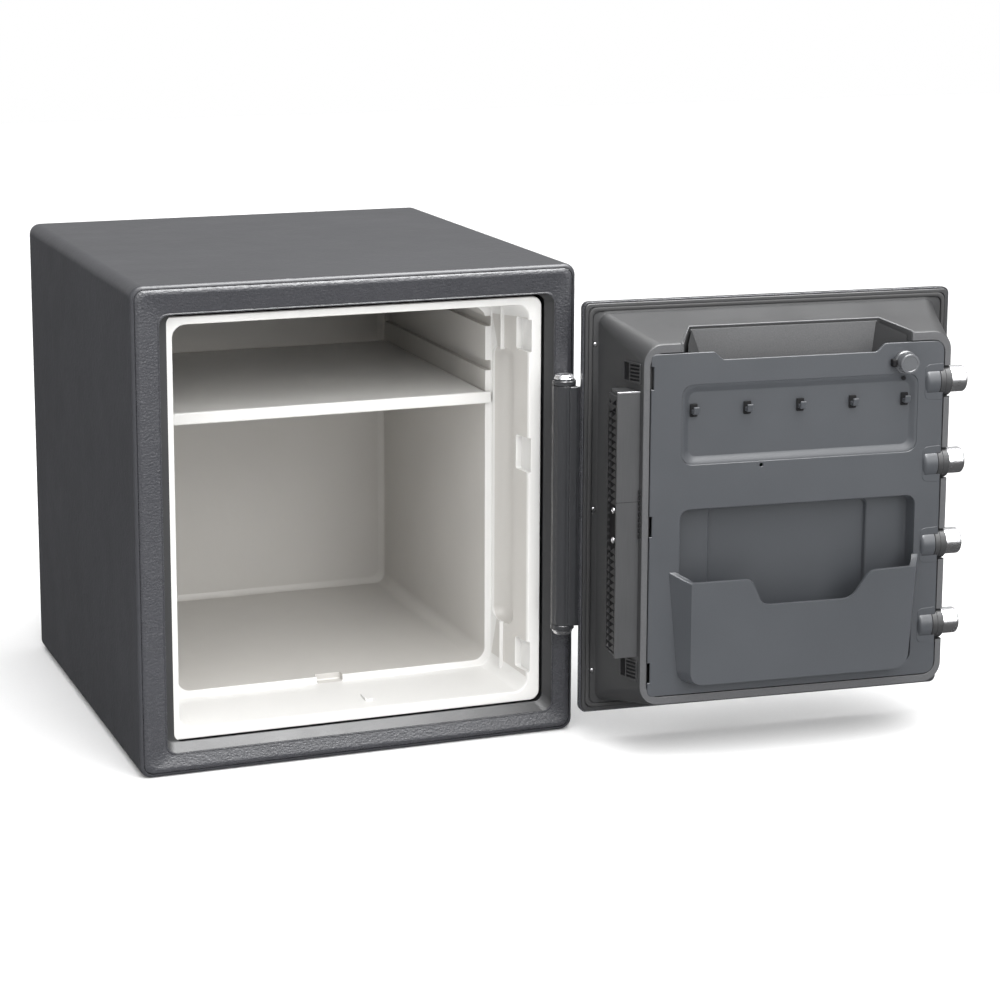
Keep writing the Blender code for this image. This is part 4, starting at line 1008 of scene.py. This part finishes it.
def make_lamp():
    """Lamp on the cover's corner with its side switch."""
    x, z = -0.1087, 0.365
    profile = [(0.0, 0.0124), (0.0068, 0.0124), (0.0072, 0.0128)] + arc((0.0084, 0.0118), 0.001, 90, 0,
        5) + [(0.0096, 0.004), (0.01, 0.0032), (0.0108, 0.0026), (0.0111, 0.0016), (0.0111, 0.0),
        (0.0, 0.0)]
    cap = turned("lamp_cap", profile, (x, COVER_FACE + 0.0001, z), "depth", LENS, 56)
    tab = slab("lamp_tab", (x + 0.01, x + 0.0145), (COVER_FACE - 0.0004, COVER_FACE + 0.0062),
        (z - 0.0035, z + 0.0035), DARK, 0.001)
    eye = turned("lamp_eye", [(0.0, 0.0004), (0.0017, 0.0004), (0.0021, 0.0002), (0.0021, -0.0004),
        (0.0, -0.0004)], (x + 0.0007, COVER_FACE + 0.0001, z - 0.0155), "depth", DARK, 24)
    fit(joined("interior_lamp", [cap, tab, eye]), "door", "lamp_grey", "interior_light")


def side_x(depth):
    """Hinge-side wall of the plug at a depth."""
    share = (depth - FOOT_DEPTH) / (PLUG_EDGE - FOOT_DEPTH)
    return PLUG_FOOT[1] + (PLUG_FACE[1] - PLUG_FOOT[1]) * share


def lean():
    """Tilt of the plug's hinge-side wall, for pieces that lie on it."""
    return math.atan2(PLUG_FOOT[1] - PLUG_FACE[1], PLUG_EDGE - FOOT_DEPTH)


def lay_on_side(piece, depth):
    """Turns a piece drawn flat in the depth-height plane onto the sloping wall."""
    piece.data.transform(about(at(side_x(depth), depth, 0.0), lean()))
    return piece


def make_dead_bar():
    """Fixed bar on the hinge side, its end cap, screws, gills and louvres."""
    low, high = 0.099, 0.349
    outline = filleted([(side_x(0.05) - 0.002, 0.05), (0.1692, 0.05), (0.1692, 0.0706), (0.1712, 0.0706),
        (0.1712, 0.0725), (side_x(0.0725) - 0.002, 0.0725)], [0.0, 0.0008, 0.0, 0.0, 0.0008, 0.0], 3)
    bar = plate("dead_bar", outline, low, high, BAR, edge=0.0005, axis="z")
    seam = slab("bar_seam", (side_x(0.0725) - 0.001, 0.1713), (0.07, 0.0726), (0.2462, 0.2466), DARK, 0.0)
    top = slab("bar_end", (side_x(0.0725) - 0.001, 0.1712), (0.0716, 0.0727),
        (high - 0.0016, high + 0.0002), ZINC, 0.0003)
    fit(joined("dead_bar", [bar, seam, top]), "door", "black_steel", "hinge_bar")
    for name, z in (("upper", 0.238), ("lower", 0.21)):
        head = screw_head(f"bar_screw_{name}", (0.1714, 0.0655, z), "x", 0.003, 0.0015, CHROME)
        fit(head, "door", "chrome", f"hinge_bar_screw_{name}")
    pitch, count = 0.0066, 36
    holes = []
    for index in range(count):
        z = low + 0.006 + pitch * index
        if 0.2035 < z < 0.2395:
            holes.append([(0.0486, z + 0.001), (0.0508, z + 0.001), (0.0504, z + 0.0034)])
            continue
        holes.append([(0.0568, z), (0.0696, z), (0.0676, z + 0.0054)])
        holes.append([(0.0484, z), (0.054, z), (0.0532, z + 0.0044)])
    comb = plate("gill_comb", rectangle((0.0474, 0.0708), (low + 0.004, high - 0.004), 0.0008), 0.1694,
        0.1712, PLUG, holes=holes, edge=0.0002, axis="x", rings=1)
    shade = plate("gill_shade", [(0.0478, low + 0.0044), (0.0704, low + 0.0044), (0.0704, high - 0.0044),
        (0.0478, high - 0.0044)], 0.169, 0.1696, DARK, edge=0.0, axis="x")
    fit(joined("gill_comb", [comb, shade]), "door", "door_plastic")
    teeth = []
    for step in range(9):
        z = 0.212 + 0.0052 * step
        teeth.append(plate("tooth", [(0.0738, z), (0.0762, z + 0.0008), (0.0738, z + 0.004)],
            side_x(0.075) - 0.001, side_x(0.075) + 0.0012, DARK, edge=0.0, axis="x"))
    fit(lay_on_side(joined("side_teeth", teeth), 0.075), "door", "door_plastic")
    for name, z_low, z_high in (("top", 0.3555, 0.3745), ("bottom", 0.0755, 0.095)):
        make_louvre(name, z_low, z_high)


def make_louvre(name, z_low, z_high):
    """Small vent block with upright slots and a dark plate behind them, painted shade for the room
    inside.
    """
    start, end = 0.0485, 0.0742
    wall = side_x((start + end) / 2)
    slots = []
    rows = 5
    pitch = (z_high - z_low - 0.0024) / rows
    for row in range(rows):
        z = z_low + 0.0016 + pitch * row
        slots.append([(start + 0.01, z), (end - 0.001, z + 0.0008),
            (end - 0.001, z + 0.0008 + pitch * 0.62), (start + 0.01, z + pitch * 0.62)])
    slots.append([(start + 0.001, z_low + 0.0012), (start + 0.0084, z_low + 0.0012),
        (start + 0.0084, z_high - 0.0012), (start + 0.001, z_high - 0.0012)])
    grille = plate("louvre", rectangle((start, end), (z_low, z_high), 0.0012), wall - 0.0008,
        wall + 0.0012, PLUG, holes=slots, edge=0.0003, axis="x", rings=1)
    # The dark plate behind the slots is painted shade.
    back = plate("louvre_painted_shade", [(start + 0.0006, z_low + 0.0008), (end - 0.0006, z_low + 0.0008),
        (end - 0.0006, z_high - 0.0008), (start + 0.0006, z_high - 0.0008)], wall - 0.0006, wall + 0.0001,
        DARK, edge=0.0, axis="x")
    fit(lay_on_side(joined(f"louvre_{name}", [grille, back]), (start + end) / 2), "door", "door_plastic")


def make_flange_screws():
    """Small screws round the flange of the inner door."""
    heads = []
    for z in (0.07, 0.2265, 0.383):
        heads.append(screw_head("flange_screw", (0.1725, 0.0112, z), "depth", 0.0021, 0.0009, ZINC))
        heads.append(screw_head("flange_screw", (-0.1712, 0.0112, z), "depth", 0.0021, 0.0009, ZINC))
    fit(joined("flange_screws", heads), "door", "zinc")


# ---------------------------------------------------------------- door, outer side

HANDLE_X, HANDLE_Z = -0.105, 0.2265
PAD_X, PAD_HALF, PAD_LOW, PAD_HIGH, PAD_FRONT = 0.045, 0.048, 0.17, 0.335, -0.0225


def make_handle():
    """Lever with a swept grip on a round hub and rosette."""
    top, bottom = -0.036, -0.025
    grip = filleted([(HANDLE_X - 0.006, HANDLE_Z - 0.0075), (HANDLE_X + 0.03, HANDLE_Z - 0.007),
        (HANDLE_X + 0.088, HANDLE_Z - 0.0062), (HANDLE_X + 0.088, HANDLE_Z + 0.005),
        (HANDLE_X + 0.03, HANDLE_Z + 0.0068), (HANDLE_X - 0.006, HANDLE_Z + 0.0075)],
        [0.007, 0.03, 0.0055, 0.0055, 0.03, 0.007], 8)
    lever = plate("grip", grip, top, bottom, ZINC, edge=0.0034, rings=5)
    hub = turned("hub", [(0.0, 0.0)] + [(0.0108, 0.0)] + arc((0.0115, 0.002), 0.002, -90, 0, 4)
        + [(0.0132, 0.008), (0.0135, 0.015), (0.0128, 0.019), (0.0118, 0.023), (0.0116, 0.0258),
        (0.0, 0.0258)], (HANDLE_X, -0.035, HANDLE_Z), "depth", ZINC, 56)
    disc = turned("hub_disc", [(0.0, 0.0006), (0.006, 0.0006), (0.0066, 0.0003), (0.0066, -0.0004),
        (0.0, -0.0004)], (HANDLE_X, -0.0353, HANDLE_Z), "-depth", CHROME, 48)
    fit(joined("lever_handle", [lever, hub, disc]), "handle", "zinc", "handle_lever")
    rosette = turned("lever_rosette", [(0.0048, 0.0085), (0.015, 0.0085), (0.0152, 0.0079),
        (0.0162, 0.0079), (0.0164, 0.0085), (0.0186, 0.0085), (0.0208, 0.0078), (0.0232, 0.006),
        (0.0248, 0.0038), (0.0258, 0.0034), (0.0265, 0.0024), (0.0265, 0.0), (0.0048, 0.0),
        (0.0048, 0.0085)], (HANDLE_X, -0.0003, HANDLE_Z), "-depth", PAD, 64)
    fit(rosette, "door", "door_plastic", "handle_rosette")


def number(text, x, z, depth, size=0.0078):
    """Raised character on a key."""
    curve = bpy.data.curves.new("digit", "FONT")
    curve.body = text
    curve.size = size
    curve.align_x = "CENTER"
    curve.align_y = "CENTER"
    curve.extrude = 0.00012
    curve.resolution_u = 3
    mesh = mesh_of(curve)
    mesh.transform(Matrix.Translation(at(x, depth, z)) @ Matrix.Rotation(math.radians(90), 4, "X"))
    return add("digit", mesh, INK)


def make_keypad():
    """Housing, twelve keys, battery cover, key lock."""
    box = (PAD_X - PAD_HALF, PAD_X + PAD_HALF, PAD_LOW, PAD_HIGH)
    body = loft("keypad_body", rims(box, (0.0, -0.0003, 0.012), (0.0, -0.016, 0.012),
        (0.0003, -0.0186, 0.0118), (0.0013, -0.0206, 0.0112), (0.003, -0.0219, 0.01),
        (0.005, PAD_FRONT, 0.0085), (0.0062, PAD_FRONT, 0.008), (0.0067, PAD_FRONT + 0.0006, 0.0078),
        (0.0072, PAD_FRONT, 0.0076)), PAD, steps=12)
    tools = []
    names = ("1", "2", "3", "4", "5", "6", "7", "8", "9", "clear", "0", "enter")
    marks = ("1", "2", "3", "4", "5", "6", "7", "8", "9", "*", "0", "#")
    places = []
    for index, name in enumerate(names):
        x = PAD_X + 0.027 * (index % 3 - 1)
        z = 0.315 - 0.022 * (index // 3)
        places.append((name, marks[index], x, z))
        well = corner_loop((x - 0.0113, x + 0.0113, z - 0.008, z + 0.008), 0.0032, 5)
        tools.append(plate("key_well", well, -0.03, -0.0168, PAD, edge=0.0))
    tools.append(turned("lock_well", [(0.0, -0.004), (0.0125, -0.004), (0.0125, 0.0125), (0.0, 0.0125)],
        (PAD_X, -0.026, 0.218), "depth", PAD))
    tools.append(slab("battery_well", (PAD_X - 0.0335, PAD_X + 0.0335), (-0.03, -0.0175),
        (0.1748, 0.2002), PAD, 0.0))
    boolean(body, tools)
    soften(body, 0.0004, 2, 50)
    fit(body, "door", "door_plastic", "keypad_housing")
    for name, mark, x, z in places:
        low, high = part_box(f"button_{name}")
        box = (x - 0.0105, x + 0.0105, z - 0.00725, z + 0.00725)
        inner, outer = button_range(low, high)
        key = loft("cap", rims(box, (0.0, inner, 0.0028), (0.0, outer + 0.0012, 0.0028),
            (0.0003, outer + 0.0006, 0.0026), (0.001, outer + 0.0001, 0.0022), (0.002, outer, 0.0018),
            (0.005, outer + 0.0003, 0.0012)), KEYS, steps=6)
        digit = number(mark, x, z, outer + 0.0001, 0.0078 if mark not in "*#" else 0.009)
        fit(joined(f"keycap_{name}", [key, digit]), f"key_{name}", "button_grey", f"button_{name}",
            open_door=True)
    cover = plate("battery_lid", rectangle((PAD_X - 0.033, PAD_X + 0.033), (0.1753, 0.1997), 0.003),
        -0.0224, -0.018, PAD, edge=0.0006)
    grips = [slab("grip_line", (PAD_X - 0.01, PAD_X + 0.01), (-0.0225, -0.0215), (z, z + 0.0012), KEYS,
        0.0004) for z in (0.1905, 0.193, 0.1955)]
    fit(joined("battery_lid", [cover, *grips]), "door", "door_plastic", "battery_cover")


def button_range(low, high):
    """Inner and outer depth of a key, read back from the opened door's CAD box."""
    back = OPEN.inverted()
    corners = [back @ Vector((x, y, low.z)) for x in (low.x, high.x) for y in (low.y, high.y)]
    middle = sum(corner.y for corner in corners) / len(corners) - FRONT_Y
    return middle + 0.003, middle - 0.0032


make_shell()
make_front_frame()
make_liner()
make_shelf()
make_hinge()
make_door_pan()
make_door_moulding()
make_cover()
make_document_pocket()
make_hooks()
make_lamp()
make_dead_bar()
make_flange_screws()
make_handle()
make_keypad()

KEPT = {
    "hinge_pin": ZINC, "door_fill": FILL, "battery_pack": PAD, "key_cylinder": ZINC,
    "circuit_board": BOARD, "keypad_cable": RUBBER, "lock_solenoid": ZINC, "bolt_bar": ZINC,
    "handle_spindle": ZINC, "handle_cam": ZINC, "key_plug": BRASS, "lock_plunger": ZINC,
}
for node, material in KEPT.items():
    for holder in frame["nodes"][node].material_slots:
        holder.material = material


# ---------------------------------------------------------------- studio

CAMERA_PLACE = (-0.7458, -2.5173, 0.8189)
CAMERA_YAW, CAMERA_PITCH, CAMERA_ROLL = 0.36746, 0.18984, 0.00374
FOCAL_LENGTH, SENSOR_WIDTH, SHIFT_Y = 96.81, 36.0, -0.12
# name, place, target, size and power in watts
LIGHTS = (
    ("top_strip", (0.1, -0.2, 1.9), (0.05, -0.15, 0.3), (1.3, 0.4), 9),
    ("front_softbox", (0.9, -2.6, 0.9), (0.15, -0.2, 0.25), (1.6, 1.3), 18),
    ("left_softbox", (-2.3, -1.4, 0.9), (0.0, -0.1, 0.25), (1.4, 1.2), 10),
    ("edge_strip", (0.55, -0.7, 1.9), (0.1, -0.35, 0.4), (1.9, 1.2), 130),
)
SUN_STRENGTH = 3.7
SUN_SPREAD, SUN_TILT, SUN_TURN = 80, 34, 12
FLOOR_REACH = 6.0


def make_camera():
    """Camera above and to the left of the front, looking slightly down."""
    yaw, pitch, roll = CAMERA_YAW, CAMERA_PITCH, CAMERA_ROLL
    ahead = Vector((math.sin(yaw) * math.cos(pitch), math.cos(yaw) * math.cos(pitch), -math.sin(pitch)))
    right = Vector((math.cos(yaw), -math.sin(yaw), 0.0))
    up = right.cross(ahead)
    across = right * math.cos(roll) + up * math.sin(roll)
    above = up * math.cos(roll) - right * math.sin(roll)
    lens = bpy.data.cameras.new("camera")
    lens.lens = FOCAL_LENGTH
    lens.sensor_width = SENSOR_WIDTH
    lens.shift_y = SHIFT_Y
    camera = bpy.data.objects.new("camera", lens)
    bpy.context.scene.collection.objects.link(camera)
    camera.matrix_world = Matrix.Translation(CAMERA_PLACE) @ Matrix((across, above,
        -ahead)).transposed().to_4x4()
    bpy.context.scene.camera = camera


def make_light(name, place, target, size, power):
    """Rectangular light that faces its target."""
    lamp = bpy.data.lights.new(name, "AREA")
    lamp.shape = "RECTANGLE"
    lamp.size, lamp.size_y = size
    lamp.energy = power
    item = bpy.data.objects.new(name, lamp)
    bpy.context.scene.collection.objects.link(item)
    item.location = place
    item.rotation_euler = (Vector(target) - Vector(place)).to_track_quat("-Z", "Y").to_euler()
    return item


def make_studio():
    """White floor, soft world, area lights and a broad sun."""
    work = bmesh.new()
    bmesh.ops.create_grid(work, x_segments=8, y_segments=8, size=FLOOR_REACH)
    floor = add("studio_floor", close_mesh("studio_floor", work), FLOOR)
    floor.location.z = -0.0005
    floor.visible_glossy = False
    world = bpy.data.worlds.new("studio")
    bpy.context.scene.world = world
    world.use_nodes = True
    nodes, links = world.node_tree.nodes, world.node_tree.links
    sky = nodes["Background"]
    turn = nodes.new("ShaderNodeSeparateXYZ")
    links.new(nodes.new("ShaderNodeTexCoord").outputs["Generated"], turn.inputs["Vector"])
    links.new(ranged(nodes, links, turn.outputs["Z"], -0.1, 0.12, 0.1, 0.5), sky.inputs["Strength"])
    sky.inputs["Color"].default_value = (1.0, 1.0, 1.0, 1.0)
    paper = nodes.new("ShaderNodeBackground")
    paper.inputs["Color"].default_value = (1.0, 1.0, 1.0, 1.0)
    paper.inputs["Strength"].default_value = 1.0
    chosen = nodes.new("ShaderNodeMixShader")
    links.new(nodes.new("ShaderNodeLightPath").outputs["Is Camera Ray"], chosen.inputs["Fac"])
    links.new(sky.outputs["Background"], chosen.inputs[1])
    links.new(paper.outputs["Background"], chosen.inputs[2])
    links.new(chosen.outputs["Shader"], nodes["World Output"].inputs["Surface"])
    for row in LIGHTS:
        lamp = make_light(*row)
    # The last one only draws highlights along rounded edges.
    lamp.visible_diffuse = False
    day = bpy.data.lights.new("day", "SUN")
    day.energy = SUN_STRENGTH
    day.angle = math.radians(SUN_SPREAD)
    sun = bpy.data.objects.new("day", day)
    bpy.context.scene.collection.objects.link(sun)
    sun.rotation_euler = (math.radians(SUN_TILT), 0.0, math.radians(SUN_TURN))
    view = bpy.context.scene.view_settings
    view.view_transform = "Standard"
    view.look = "None"


make_camera()
make_studio()
